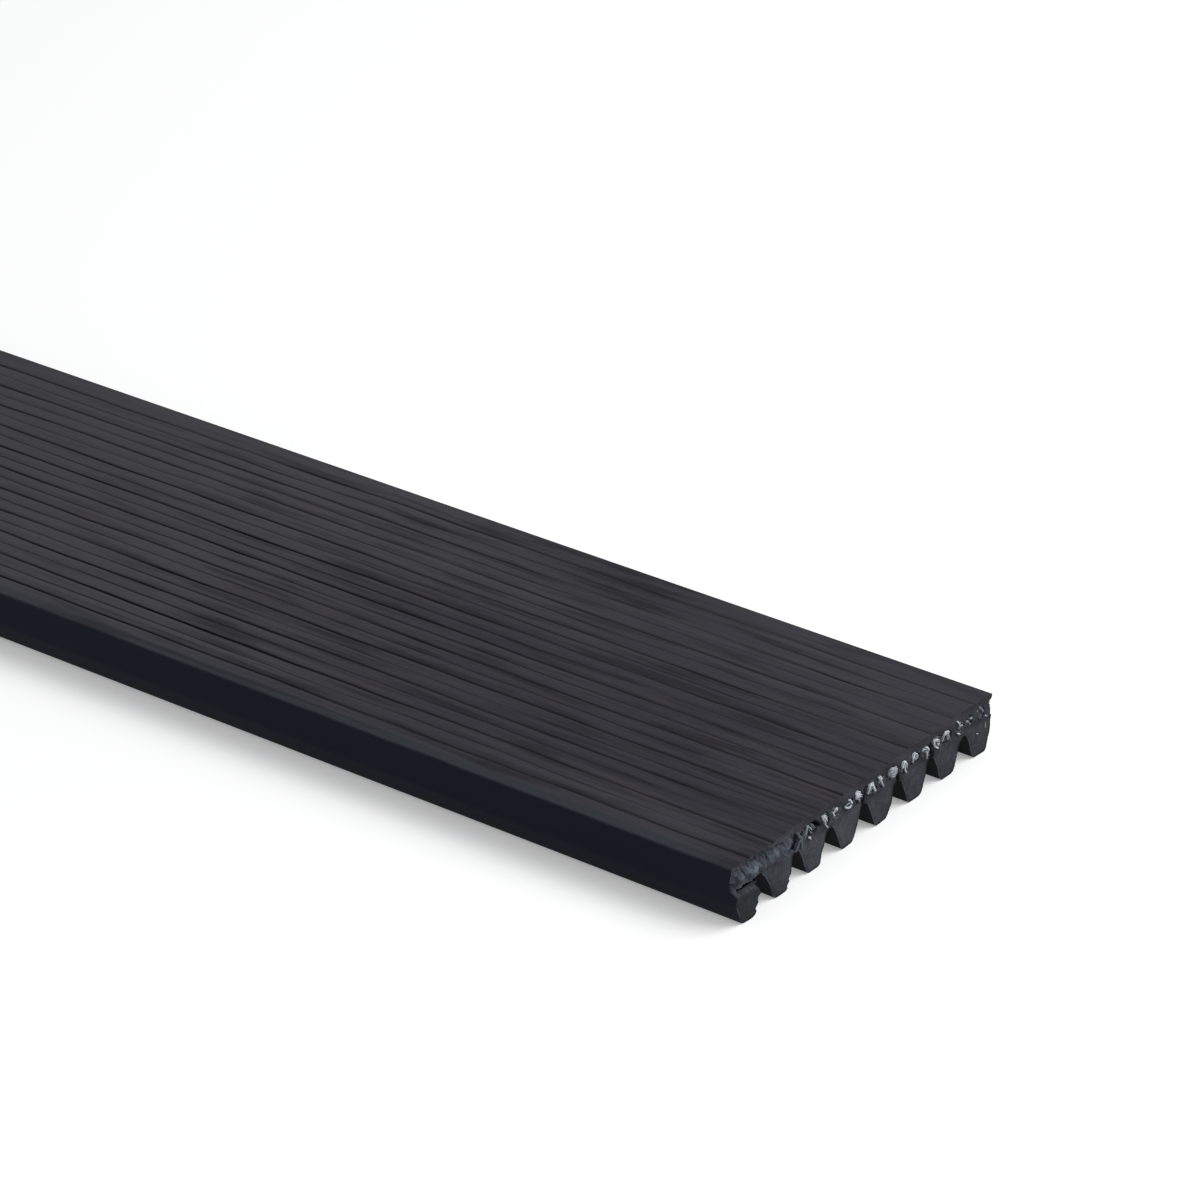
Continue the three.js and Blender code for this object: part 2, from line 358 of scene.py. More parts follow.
def store(mesh: bpy.types.Mesh, name: str, values: np.ndarray, domain: str = "POINT") -> None:
    """Writes a float attribute on a mesh's points or faces."""
    attribute = mesh.attributes.new(name, "FLOAT", domain)
    attribute.data.foreach_set("value", values.astype(np.float32))


def vectors_of(elements: bpy.types.bpy_prop_collection, name: str) -> np.ndarray:
    """Reads a vector of each of a mesh's points or faces, one row each.

    Args:
        elements: The mesh's points or faces.
        name: The vector's name, such as co.

    Returns:
        An array of three columns.
    """
    values = np.zeros(len(elements) * 3)
    elements.foreach_get(name, values)
    return values.reshape(-1, 3)


class MeshMaker:
    """Gathers points, lines and faces in millimetres and makes a mesh object of them."""

    def __init__(self) -> None:
        """Starts with nothing."""
        self.points: list[np.ndarray] = []
        self.edges: list[tuple[int, int]] = []
        self.faces: list[tuple[int, ...]] = []
        self.values: dict[str, list[np.ndarray]] = {}
        self.count = 0

    def add_points(self, points: np.ndarray, **values: np.ndarray | float) -> int:
        """Adds points with their attribute values.

        Args:
            points: Places, one row for each point.
            **values: Attribute values by name, one for each point or one for all.

        Returns:
            The index of the first point added.
        """
        start = self.count
        points = np.asarray(points, float).reshape(-1, 3)
        self.points.append(points)
        for name, value in values.items():
            self.values.setdefault(name, []).append(np.broadcast_to(value, len(points)).astype(float))
        self.count += len(points)
        return start

    def add_line(self, points: np.ndarray, closed: bool = False, **values: float) -> None:
        """Adds a line through points, open or closed, with values as for add_points."""
        start, count = self.add_points(points, **values), len(points)
        self.edges += [(start + k, start + (k + 1) % count) for k in range(count if closed else count - 1)]

    def add_rings(self, rings: Sequence[np.ndarray], **values: np.ndarray | float) -> None:
        """Adds a closed tube of rings of points, whose rings turn anticlockwise seen from its end.

        Args:
            rings: The rings' places, from the start to the end.
            **values: Attribute values by name, as for add_points.
        """
        sides = len(rings[0])
        start = self.add_points(np.array(rings), **values)
        last = start + (len(rings) - 1) * sides
        for low in range(start, last, sides):
            for side in range(sides):
                after = (side + 1) % sides
                self.faces.append((low + side, low + after, low + sides + after, low + sides + side))
        self.faces.append(tuple(start + side for side in reversed(range(sides))))
        self.faces.append(tuple(last + side for side in range(sides)))

    def make(self, name: str) -> bpy.types.Object:
        """Makes the mesh object and puts it in the scene.

        Args:
            name: The object's name.

        Returns:
            The object, at the origin, with its place in its mesh.
        """
        mesh = bpy.data.meshes.new(name)
        mesh.from_pydata((np.vstack(self.points) * MM).tolist(), self.edges, self.faces)
        for value_name, parts in self.values.items():
            store(mesh, value_name, np.concatenate(parts))
        mesh.update()
        return put_in_scene(name, mesh)


def tubes_object(name: str, tubes: Sequence[Sequence[np.ndarray]]) -> bpy.types.Object:
    """Makes one mesh object of closed tubes, each given by its rings.

    Args:
        name: The object's name.
        tubes: The rings of each tube.

    Returns:
        The object.
    """
    maker = MeshMaker()
    for rings in tubes:
        maker.add_rings(rings)
    return maker.make(name)


class Wire:
    """A node's output socket, with arithmetic that adds the Math nodes it needs."""

    def __init__(self, nodes: "Nodes", socket: bpy.types.NodeSocket) -> None:
        """Wraps a socket."""
        self.nodes = nodes
        self.socket = socket

    def __add__(self, other: "Wire | float") -> "Wire":
        """self + other."""
        return self.nodes.math("ADD", self, other)

    __radd__ = __add__

    def __sub__(self, other: "Wire | float") -> "Wire":
        """self - other."""
        return self.nodes.math("SUBTRACT", self, other)

    def __rsub__(self, other: float) -> "Wire":
        """other - self."""
        return self.nodes.math("SUBTRACT", other, self)

    def __mul__(self, other: "Wire | float") -> "Wire":
        """self * other."""
        return self.nodes.math("MULTIPLY", self, other)

    __rmul__ = __mul__

    def __truediv__(self, other: "Wire | float") -> "Wire":
        """self / other."""
        return self.nodes.math("DIVIDE", self, other)

    def __rtruediv__(self, other: float) -> "Wire":
        """other / self."""
        return self.nodes.math("DIVIDE", other, self)

    def clamp(self) -> "Wire":
        """self kept between 0 and 1."""
        return self.nodes.math("MINIMUM", self.nodes.math("MAXIMUM", self, 0.0), 1.0)

    def ramp(self, low: float, high: float) -> "Wire":
        """0 below low, 1 above high and smooth between them.

        Args:
            low: The value that gives 0.
            high: The value that gives 1.

        Returns:
            The new value as a wire.
        """
        settings = {"interpolation_type": "SMOOTHSTEP"}
        node = self.nodes.add("ShaderNodeMapRange", settings, {0: self, 1: low, 2: high})
        return Wire(self.nodes, node.outputs[0])


class Nodes:
    """Adds nodes to a tree and joins their sockets."""

    def __init__(self, tree: bpy.types.NodeTree) -> None:
        """Works on a tree, which starts empty."""
        self.tree = tree
        tree.nodes.clear()

    def add(self, kind: str, settings: dict[str, Any] | None = None,
            inputs: dict[str | int, Any] | None = None) -> bpy.types.Node:
        """Adds a node.

        Args:
            kind: The node's type.
            settings: Its properties, such as a Math node's operation, set first.
            inputs: Values or links of its sockets, by name or index.

        Returns:
            The node.
        """
        node = self.tree.nodes.new(kind)
        for name, value in (settings or {}).items():
            if name == "captures":
                for kind_of_value, value_name in value:
                    node.capture_items.new(kind_of_value, value_name)
            else:
                setattr(node, name, value)
        for key, value in (inputs or {}).items():
            socket = node.inputs[key]
            if isinstance(value, Wire):
                self.tree.links.new(value.socket, socket)
            elif isinstance(value, bpy.types.NodeSocket):
                self.tree.links.new(value, socket)
            elif isinstance(value, bpy.types.Node):
                self.tree.links.new(value.outputs[0], socket)
            else:
                socket.default_value = value
        return node

    def out(self, kind: str, settings: dict[str, Any] | None = None,
            inputs: dict[str | int, Any] | None = None, output: str | int = 0) -> Wire:
        """Adds a node and gives one of its outputs as a wire."""
        return Wire(self, self.add(kind, settings, inputs).outputs[output])

    def math(self, operation: str, *operands: "Wire | float") -> Wire:
        """Adds a Math node on one to three operands."""
        return self.out("ShaderNodeMath", {"operation": operation}, dict(enumerate(operands)))

    def vector(self, operation: str, *operands: Any, scale: "Wire | float | None" = None) -> Wire:
        """Adds a Vector Math node.

        Args:
            operation: The node's operation.
            *operands: Its vectors.
            scale: The Scale socket's value, for an operation that has one.

        Returns:
            The result as a wire.
        """
        inputs: dict[str | int, Any] = dict(enumerate(operands))
        if scale is not None:
            inputs["Scale"] = scale
        return self.out("ShaderNodeVectorMath", {"operation": operation}, inputs)

    def mix(self, factor: "Wire | float", first: Any, second: Any, blend: str = "MIX") -> Wire:
        """Adds a Mix node for colours."""
        settings = {"data_type": "RGBA", "blend_type": blend}
        return self.out("ShaderNodeMix", settings, {0: factor, 6: first, 7: second}, 2)

    def joined(self, x: "Wire | float", y: "Wire | float", z: "Wire | float") -> Wire:
        """Adds a Combine XYZ node."""
        return self.out("ShaderNodeCombineXYZ", None, {0: x, 1: y, 2: z})

    def axes(self, place: Any) -> tuple[Wire, ...]:
        """The three parts of a vector, by a Separate XYZ node."""
        node = self.add("ShaderNodeSeparateXYZ", None, {0: place})
        return tuple(Wire(self, socket) for socket in node.outputs)

    def place(self) -> Wire:
        """The place on the object in a material, in millimetres."""
        return self.vector("SCALE", self.out("ShaderNodeTexCoord", None, None, "Object"), scale=1 / MM)

    def attribute(self, name: str) -> Wire:
        """A mesh attribute in a material."""
        return self.out("ShaderNodeAttribute", {"attribute_name": name}, None, "Fac")

    def noise(self, place: Wire, scale: float, detail: float = 2.0, roughness: float = 0.5) -> Wire:
        """Adds a three-dimensional noise texture, about 0.3 to 0.7."""
        inputs = {"Vector": place, "Scale": scale, "Detail": detail, "Roughness": roughness}
        return self.out("ShaderNodeTexNoise", None, inputs)

    def end_in_surface(self, look: dict[str, Any], relief: Wire, strength: float, height: float) -> None:
        """Ends a material in a Principled shader over a bump.

        Args:
            look: The shader's inputs by name.
            relief: The bump's relief.
            strength: The bump's strength.
            height: How high a relief of 1 stands, in millimetres.
        """
        bump = self.add("ShaderNodeBump", None, {
            "Strength": strength, "Distance": height * MM, "Height": relief})
        shader = self.add("ShaderNodeBsdfPrincipled", None, {**look, "Normal": bump})
        self.add("ShaderNodeOutputMaterial", None, {"Surface": shader})


def new_material(name: str) -> tuple[bpy.types.Material, Nodes]:
    """Starts a material and gives its empty tree's nodes.

    Args:
        name: The material's name.

    Returns:
        The material and its nodes.
    """
    material = bpy.data.materials.new(name)
    material.use_nodes = True
    return material, Nodes(material.node_tree)


class ShapeTree:
    """A Geometry Nodes tree with named inputs, whose result replaces a source object's mesh."""

    def __init__(self, name: str) -> None:
        """Makes an empty tree that takes and gives geometry.

        Args:
            name: The tree's name.
        """
        self.tree = bpy.data.node_groups.new(name, "GeometryNodeTree")
        self.nodes = Nodes(self.tree)
        self.identifiers: dict[str, str] = {}
        self.tree.interface.new_socket(name="Geometry", in_out="INPUT", socket_type="NodeSocketGeometry")
        self.tree.interface.new_socket(name="Geometry", in_out="OUTPUT", socket_type="NodeSocketGeometry")
        self.entry = self.nodes.add("NodeGroupInput")

    def input(self, name: str, kind: str = "NodeSocketFloat") -> Wire:
        """Adds a named input.

        Args:
            name: The input's name.
            kind: The socket's type.

        Returns:
            The input as a wire.
        """
        socket = self.tree.interface.new_socket(name=name, in_out="INPUT", socket_type=kind)
        self.identifiers[name] = socket.identifier
        return Wire(self.nodes, self.entry.outputs[name])

    def geometry(self) -> Wire:
        """The source object's own geometry."""
        return Wire(self.nodes, self.entry.outputs["Geometry"])

    def end_with(self, geometry: Wire, material: Wire) -> None:
        """Ends the tree in Realize Instances and Set Material.

        Args:
            geometry: The finished shape.
            material: Its material.
        """
        real = self.nodes.out("GeometryNodeRealizeInstances", None, {0: geometry})
        dressed = self.nodes.out("GeometryNodeSetMaterial", None, {"Geometry": real, "Material": material})
        self.nodes.add("NodeGroupOutput", None, {0: dressed})

    def grow(self, source: bpy.types.Object, values: dict[str, Any]) -> bpy.types.Mesh:
        """Runs the tree on an object and removes that object.

        Args:
            source: The object whose mesh the tree starts from.
            values: The inputs' values by name.

        Returns:
            The result as a plain mesh.
        """
        modifier = source.modifiers.new("shape", "NODES")
        modifier.node_group = self.tree
        for name, value in values.items():
            modifier[self.identifiers[name]] = value
        graph = bpy.context.evaluated_depsgraph_get()
        mesh = bpy.data.meshes.new_from_object(source.evaluated_get(graph))
        source.modifiers.remove(modifier)
        bpy.data.objects.remove(source)
        return mesh


def settle(piece: bpy.types.Object, replaced: Sequence[str]) -> None:
    """Attaches a finished piece to the root body, hides the solids that it stands for and logs its triangles.

    Args:
        piece: The piece, in place.
        replaced: The solids' nodes that it stands for.
    """
    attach(piece, "root")
    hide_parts(*replaced)
    piece.data.calc_loop_triangles()
    log.info("%s: %d triangles", piece.name, len(piece.data.loop_triangles))


@dataclass(frozen=True)
class RubberFinish:
    """The belt's black rubber: satin on the grooved back, darker on the slit sides, matt where it was cut."""

    back: Colour = (0.0360, 0.0340, 0.0430, 1.0)
    back_pale: Colour = (0.0640, 0.0612, 0.0716, 1.0)
    # Painted shade: the near black that the back's grooves take where they are deepest.
    groove: Colour = (0.0030, 0.0028, 0.0045, 1.0)
    smudge: Colour = (0.0170, 0.0155, 0.0205, 1.0)
    polished: Colour = (0.0500, 0.0510, 0.0610, 1.0)
    streak: Colour = (0.085, 0.066, 0.070, 1.0)
    edge_strip: Colour = (0.0340, 0.0400, 0.0510, 1.0)
    side: Colour = (0.0225, 0.0282, 0.0430, 1.0)
    side_dark: Colour = (0.0185, 0.0236, 0.0365, 1.0)
    # The ribs' ground rubber, darkened as painted shade for the valleys, the underside and the hollows of the
    # chips and the torn corner.
    flank: Colour = (0.0160, 0.0170, 0.0270, 1.0)
    warm: Colour = (0.060, 0.056, 0.050, 1.0)
    cut: Colour = (0.061, 0.065, 0.077, 1.0)
    cut_dark: Colour = (0.045, 0.047, 0.058, 1.0)
    # Painted light: the lighter grey of the cut's near part.
    cut_near: Colour = (0.080, 0.086, 0.104, 1.0)
    strip: Colour = (0.0520, 0.0515, 0.0620, 1.0)
    # Near black of the cut's rim along its outline, also used as painted shade in the smear's pits.
    cut_rim: Colour = (0.010, 0.011, 0.015, 1.0)
    rib_face: Colour = (0.0765, 0.0800, 0.0935, 1.0)
    # Painted shade: near black inside the tear, the channels and other hollows behind the cut.
    hole: Colour = (0.0012, 0.0012, 0.0018, 1.0)
    # Pale grey of the smeared rubber, lightened further as painted highlight on its lumps.
    lump: Colour = (0.150, 0.180, 0.212, 1.0)
    back_roughness: float = 0.58
    side_roughness: float = 0.42
    cut_roughness: float = 0.82
    grain_scale: float = 5.5
    streak_length: float = 16.0
    streak_width: float = 0.34
    specular: float = 0.03
    name: str = "belt rubber"

    def back_colour(self, nodes: Nodes, place: Wire) -> Wire:
        """The back: lands of unlike tone, long streaks, smudges and painted shade in the grooves.

        Args:
            nodes: The material's nodes.
            place: The place on the body, in millimetres.

        Returns:
            The colour as a wire.
        """
        x, y, _ = nodes.axes(place)
        stretched = nodes.joined(x / self.streak_length, y / self.streak_width, 0.0)
        streaks = nodes.noise(stretched, 1.0, 3.0, 0.55)
        land = nodes.math("FLOOR", (y + SIZES.half_width) / SIZES.cord_pitch)
        land_tone = nodes.out("ShaderNodeTexWhiteNoise", {"noise_dimensions": "1D"}, {"W": land}, "Value")
        cloud = nodes.noise(nodes.joined(x * 0.05, y * 0.12, 3.0), 1.0, 2.0)
        tone = (0.4 * land_tone + 0.8 * streaks.ramp(0.3, 0.72) + 0.6 * cloud.ramp(0.35, 0.65)) / 2.2
        tone = (tone + 0.75 * (-1.0 * x).ramp(-20.0, 12.0) + 0.3 * y.ramp(2.0, 9.0)).clamp()
        colour = nodes.mix(tone, self.back, self.back_pale)
        flecks = nodes.noise(nodes.joined(x / 5.0, y / 0.22, 9.0), 1.0, 1.0).ramp(0.66, 0.78)
        patches = nodes.noise(nodes.joined(x * 0.07, y * 0.2, 21.0), 1.0, 1.0).ramp(0.5, 0.66)
        colour = nodes.mix(flecks * patches * 0.75, colour, self.streak)
        strip = (-1.0 * y).ramp(SIZES.half_width - 1.3, SIZES.half_width - 0.5)
        colour = nodes.mix(strip * 0.6, colour, self.edge_strip)
        smudge = nodes.noise(nodes.joined(x / 9.0, y / 0.8, 13.0), 1.0, 2.0).ramp(0.46, 0.7)
        colour = nodes.mix(smudge * (0.2 + 0.35 * x.ramp(-25.0, 5.0)), colour, self.smudge)
        polished = x.ramp(37.0, 47.0) * y.ramp(2.0, 9.0)
        colour = nodes.mix(polished * 0.6, colour, self.polished)
        # Painted shade in the grooves, weaker towards the cut and the far side and patchy along them.
        groove_shade_share = 0.9 - 0.5 * x.ramp(-5.0, 35.0) - 0.5 * nodes.noise(stretched, 0.6, 2.0).ramp(0.45, 0.7)
        groove_shade_share = groove_shade_share - 0.3 * y.ramp(3.0, 10.0)
        return nodes.mix((nodes.attribute("groove") * groove_shade_share).clamp(), colour, self.groove)

    def side_colour(self, nodes: Nodes, place: Wire) -> Wire:
        """The slit sides: duller in patches and darker towards the cut.

        Args:
            nodes: The material's nodes.
            place: The place on the body, in millimetres.

        Returns:
            The colour as a wire.
        """
        x, y, z = nodes.axes(place)
        dull = nodes.noise(nodes.joined(x * 0.12, y, z * 0.8), 1.0, 3.0).ramp(0.3, 0.7)
        return nodes.mix((0.3 * dull + 0.6 * x.ramp(-30.0, 30.0)).clamp(), self.side, self.side_dark)

    def cut_colour(self, nodes: Nodes, place: Wire) -> Wire:
        """The cut: mottled, with painted light that makes its near part lighter and its middle ribs lightest,
        pale smears over the hidden cords with painted highlights and painted shade, and painted shade in its
        hollows.

        Args:
            nodes: The material's nodes.
            place: The place on the body, in millimetres.

        Returns:
            The colour as a wire.
        """
        x, y, z = nodes.axes(place)
        masks = ("torn", "smear", "burr_and_highlight", "rim", "deep")
        torn, smear, burr_and_highlight, rim, deep = (nodes.attribute(mask) for mask in masks)
        mottle = nodes.noise(place, 2.4, 4.0, 0.65).ramp(0.34, 0.66)
        colour = nodes.mix(mottle, self.cut_dark, self.cut)
        # Painted light: the cut is lighter towards the near side, less so near the back.
        near_painted_light = (-1.0 * y).ramp(-3.0, 9.0) * (0.55 - 0.45 * z.ramp(3.3, 3.9))
        colour = nodes.mix(near_painted_light, colour, self.cut_near)
        # Painted light on the ribs' cut faces: dimmest on the near rib, lightest on the middle ribs.
        rib_light = 0.46 + 0.54 * y.ramp(-15.0, -3.0) - 0.25 * y.ramp(-1.8, 3.0)
        rib_colour = nodes.mix(1.0, self.rib_face, rib_light * (0.84 + 0.32 * mottle), "MULTIPLY")
        tint = nodes.noise(place, 0.9, 2.0).ramp(0.45, 0.65) * (1.0 - z.ramp(0.8, 1.8))
        rib_colour = nodes.mix(tint * 0.3, rib_colour, self.warm)
        on_ribs = x.ramp(HAND_CUT_FROM, HAND_CUT_FROM + 4.0) * (1.0 - z.ramp(2.0, 2.6))
        colour = nodes.mix(on_ribs, colour, rib_colour)
        # Pale smeared rubber over the hidden cords, with painted highlights on its lumps and painted shade in
        # the pits between them.
        upright = nodes.joined(x * 0.6, y + 0.3 * z, z * 0.5)
        lumps = nodes.noise(upright, 1.7, 3.0, 0.6).ramp(0.4, 0.6)
        pit_shade = nodes.noise(upright, 2.3, 2.0, 0.55).ramp(0.56, 0.72)
        colour = nodes.mix((smear * (1.2 * lumps - 0.15)).clamp() * 0.9, colour, self.lump)
        colour = nodes.mix((smear * pit_shade).clamp() * 0.6, colour, self.cut_rim)
        upper_strip = z.ramp(3.35, 3.65) * y.ramp(-8.2, -6.4)
        colour = nodes.mix(upper_strip, colour, self.strip)
        colour = nodes.mix(rim * 0.65 * (1.0 - upper_strip), colour, self.cut_rim)
        # A pale line along the ribs' edges that face the near side: partly a burred edge left by the knife,
        # partly a painted edge highlight.
        broken = nodes.noise(place, 1.3, 2.0).ramp(0.36, 0.6)
        colour = nodes.mix(burr_and_highlight * broken * 0.3, colour, self.lump)
        # Painted shade: near black with depth behind the cut and inside the tear.
        return nodes.mix((deep + torn).clamp() * 0.96, colour, self.hole)

    def build(self) -> bpy.types.Material:
        """Builds the material.

        Returns:
            A material that reads the body's attributes.
        """
        material, nodes = new_material(self.name)
        place = nodes.place()
        x, y, _ = nodes.axes(place)
        back, side, cut = (nodes.attribute(mask) for mask in ("back", "side", "cut"))
        # Faces that are neither back, side nor cut take the flank colour, partly painted shade.
        colour = nodes.mix(side, self.flank, self.side_colour(nodes, place))
        colour = nodes.mix(back, colour, self.back_colour(nodes, place))
        colour = nodes.mix(cut, colour, self.cut_colour(nodes, place))
        grain = nodes.noise(place, self.grain_scale, 4.0, 0.6)
        drawn_lines = nodes.noise(nodes.joined(x * 0.12, y * 6.0, 1.0), 1.0, 3.0, 0.6)
        fine = nodes.noise(place, 18.0, 2.0, 0.6)
        dull_edge = y.ramp(SIZES.half_width - 0.4, SIZES.half_width - 0.1) * (1.0 - cut)
        rough = (self.side_roughness + (self.back_roughness - self.side_roughness) * back
                 + (self.cut_roughness - self.side_roughness) * cut + (grain - 0.5) * 0.22 + 0.5 * dull_edge)
        relief = grain * (0.5 + 1.3 * cut) + drawn_lines * back * 0.9 + fine * (0.25 + 0.6 * cut)
        look = {"Base Color": colour, "Roughness": rough.clamp(), "Specular IOR Level": self.specular}
        nodes.end_in_surface(look, relief, 0.5, 0.03)
        return material


@dataclass(frozen=True)
class YarnFinish:
    """Pale blue-grey yarn, darkened where it leaves the cord's core: partly by rubber, partly as painted
    shade in the dished end and between the plies.
    """

    pale: Colour = (0.66, 0.69, 0.75, 1.0)
    grey: Colour = (0.10, 0.125, 0.155, 1.0)
    # Near black of rubber on the yarn and of painted shade in its dish and crevices.
    soot: Colour = (0.020, 0.022, 0.027, 1.0)
    roughness: float = 0.72
    specular: float = 0.35
    fibre_scale: float = 14.0
    name: str = "cord yarn"

    def build(self) -> bpy.types.Material:
        """Builds the material.

        Returns:
            A material that reads the attributes of tone and of rubber and painted shade.
        """
        material, nodes = new_material(self.name)
        place = nodes.place()
        tone, soot = nodes.attribute("tone"), nodes.attribute("soot")
        fibre = nodes.noise(place, self.fibre_scale, 2.0, 0.6)
        patch = nodes.noise(place, 2.2, 2.0)
        shade = (tone + (fibre - 0.5) * 0.5 + (patch - 0.5) * 0.4).clamp()
        clean = nodes.mix(shade, self.grey, self.pale)
        colour = nodes.mix((soot + (patch - 0.5) * soot * 0.6).clamp(), clean, self.soot)
        look = {"Base Color": colour, "Roughness": self.roughness, "Specular IOR Level": self.specular}
        nodes.end_in_surface(look, fibre, 0.35, 0.02)
        return material


@dataclass(frozen=True)
class Corner:
    """A corner of the belt's section: its place and the radius that rounds it."""

    y: float
    z: float
    radius: float = 0.0


@dataclass
class BeltSection:
    """The belt's outline across: ribs below, lands and grooves on the back."""

    arc_steps: int = 5
    pair_groove: tuple[float, float] = (0.25, 0.12)
    cord_groove: tuple[float, float] = (0.18, 0.065)
    land_crown: float = 0.012
    land_steps: int = 4

    def rounded(self, corners: Sequence[Corner]) -> list[tuple[float, float]]:
        """Rounds an open run of corners; its first and last stay sharp.

        Args:
            corners: The corners in order.

        Returns:
            Points of the outline.
        """
        points = [(corners[0].y, corners[0].z)]
        for before, corner, after in zip(corners, corners[1:], corners[2:]):
            here = Vector((corner.y, corner.z))
            back = Vector((before.y, before.z)) - here
            ahead = Vector((after.y, after.z)) - here
            room = min(back.length, ahead.length) / 2
            back.normalize()
            ahead.normalize()
            half = back.angle(ahead) / 2
            reach = min(corner.radius / math.tan(half), room)
            if reach < TINY:
                points.append((corner.y, corner.z))
                continue
            centre = here + (back + ahead).normalized() * reach / math.cos(half)
            start = here + back * reach - centre
            turn = (here + ahead * reach - centre).angle_signed(start)
            for step in range(self.arc_steps + 1):
                spoke = start.copy()
                angle = turn * step / self.arc_steps
                spoke = Vector((spoke.x * math.cos(angle) - spoke.y * math.sin(angle),
                                spoke.x * math.sin(angle) + spoke.y * math.cos(angle)))
                points.append(tuple(centre + spoke))
        points.append((corners[-1].y, corners[-1].z))
        return points

    def underside(self) -> list[tuple[float, float]]:
        """The run from the near side's back edge down, under the ribs and up the far side.

        Returns:
            Points of the outline.
        """
        tip = SIZES.rib_tip_width / 2
        rise = SIZES.rib_height * SIZES.flank_slope
        foot = (SIZES.half_width - SIZES.rib_centre(SIZES.rib_count - 1) - tip) / SIZES.flank_slope
        edge = SIZES.half_width
        corners = [Corner(-edge + 3 * SIZES.back_edge_radius, SIZES.height),
                   Corner(-edge, SIZES.height, SIZES.back_edge_radius),
                   Corner(-edge, foot, SIZES.side_radius)]
        for rib in range(SIZES.rib_count):
            centre = SIZES.rib_centre(rib)
            corners.append(Corner(centre - tip, 0.0, SIZES.rib_tip_radius))
            corners.append(Corner(centre + tip, 0.0, SIZES.rib_tip_radius))
            if rib < SIZES.rib_count - 1:
                root = centre + tip + rise
                next_root = SIZES.rib_centre(rib + 1) - tip - rise
                corners.append(Corner(root, SIZES.rib_height, SIZES.valley_radius))
                corners.append(Corner(next_root, SIZES.rib_height, SIZES.valley_radius))
        corners += [Corner(edge, foot, SIZES.side_radius),
                    Corner(edge, SIZES.height, SIZES.back_edge_radius),
                    Corner(edge - 3 * SIZES.back_edge_radius, SIZES.height)]
        return self.rounded(corners)

    def grooves(self) -> list[tuple[float, float, float]]:
        """Each groove's place across the belt, its width and its depth, from the near side.

        Returns:
            A place, a width and a depth for each groove.
        """
        found = []
        for cord in range(1, SIZES.cord_count):
            centre = (SIZES.cord_centre(cord) + SIZES.cord_centre(cord - 1)) / 2
            found.append((centre, *(self.pair_groove if cord % 2 else self.cord_groove)))
        return found

    def back(self) -> list[tuple[float, float]]:
        """The back from its near edge to its far one, with soft-lipped grooves between crowned lands.

        Returns:
            Points of the outline.
        """
        points: list[tuple[float, float]] = []
        edges = [-SIZES.half_width + 3 * SIZES.back_edge_radius]
        for centre, width, depth in self.grooves():
            self._land(points, edges.pop(), centre - width * 0.75)
            for share, drop in ((-0.75, 0.0), (-0.5, 0.18), (-0.28, 0.62), (0.0, 1.0),
                                (0.28, 0.62), (0.5, 0.18), (0.75, 0.0)):
                points.append((centre + share * width, SIZES.height - self.land_crown - drop * depth))
            edges.append(centre + width * 0.75)
        self._land(points, edges.pop(), SIZES.half_width - 3 * SIZES.back_edge_radius)
        return points

    def _land(self, points: list[tuple[float, float]], start: float, end: float) -> None:
        """Adds the inner points of a land that is highest in its middle.

        Args:
            points: The outline so far, which grows.
            start: Where the land starts across the belt.
            end: Where the land ends across the belt.
        """
        for step in range(1, self.land_steps):
            share = step / self.land_steps
            drop = self.land_crown * (2 * share - 1) ** 4
            points.append((start + (end - start) * share, SIZES.height - drop))

    def outline(self) -> np.ndarray:
        """The closed outline, which turns anticlockwise as Y goes right and Z up."""
        return np.array(self.underside() + self.back()[::-1])


@dataclass(frozen=True)
class Chip:
    """A lump missing from a rib's far edge at the cut; outside is how far out of the edge its middle is."""

    rib: int
    height: float
    reach: float
    outside: float


@dataclass(frozen=True)
class PaintReach:
    """How far the body's painted zones reach, in millimetres unless a name says share."""

    channel_margin: float = 0.06
    channel_depth: float = 1.6
    side_strip: float = 0.45
    back_depth: float = 0.3
    outline_margin: float = 0.05
    cut_depth: float = 0.12
    end_depth: float = 0.1
    tear_margin: float = 0.02
    # How deep under the lands the grooves' painted shade starts and is full, and how much less both are where
    # the grooves are worn.
    groove_start: float = 0.03
    groove_full: float = 0.08
    worn_start: float = 0.018
    worn_full: float = 0.012
    smear_share: float = 0.75
    near_smear_share: float = 0.22
    near_smear_top: tuple[float, float] = (3.35, 3.95)
    # How far the pale edge line, partly painted edge highlight, reaches from the ribs' near-facing edges.
    burr_and_highlight: tuple[float, float] = (0.03, 0.13)
    rim: tuple[float, float] = (0.02, 0.28)
    # How far behind the cut face the hollows' painted shade starts and is full.
    hole: tuple[float, float] = (0.1, 0.3)


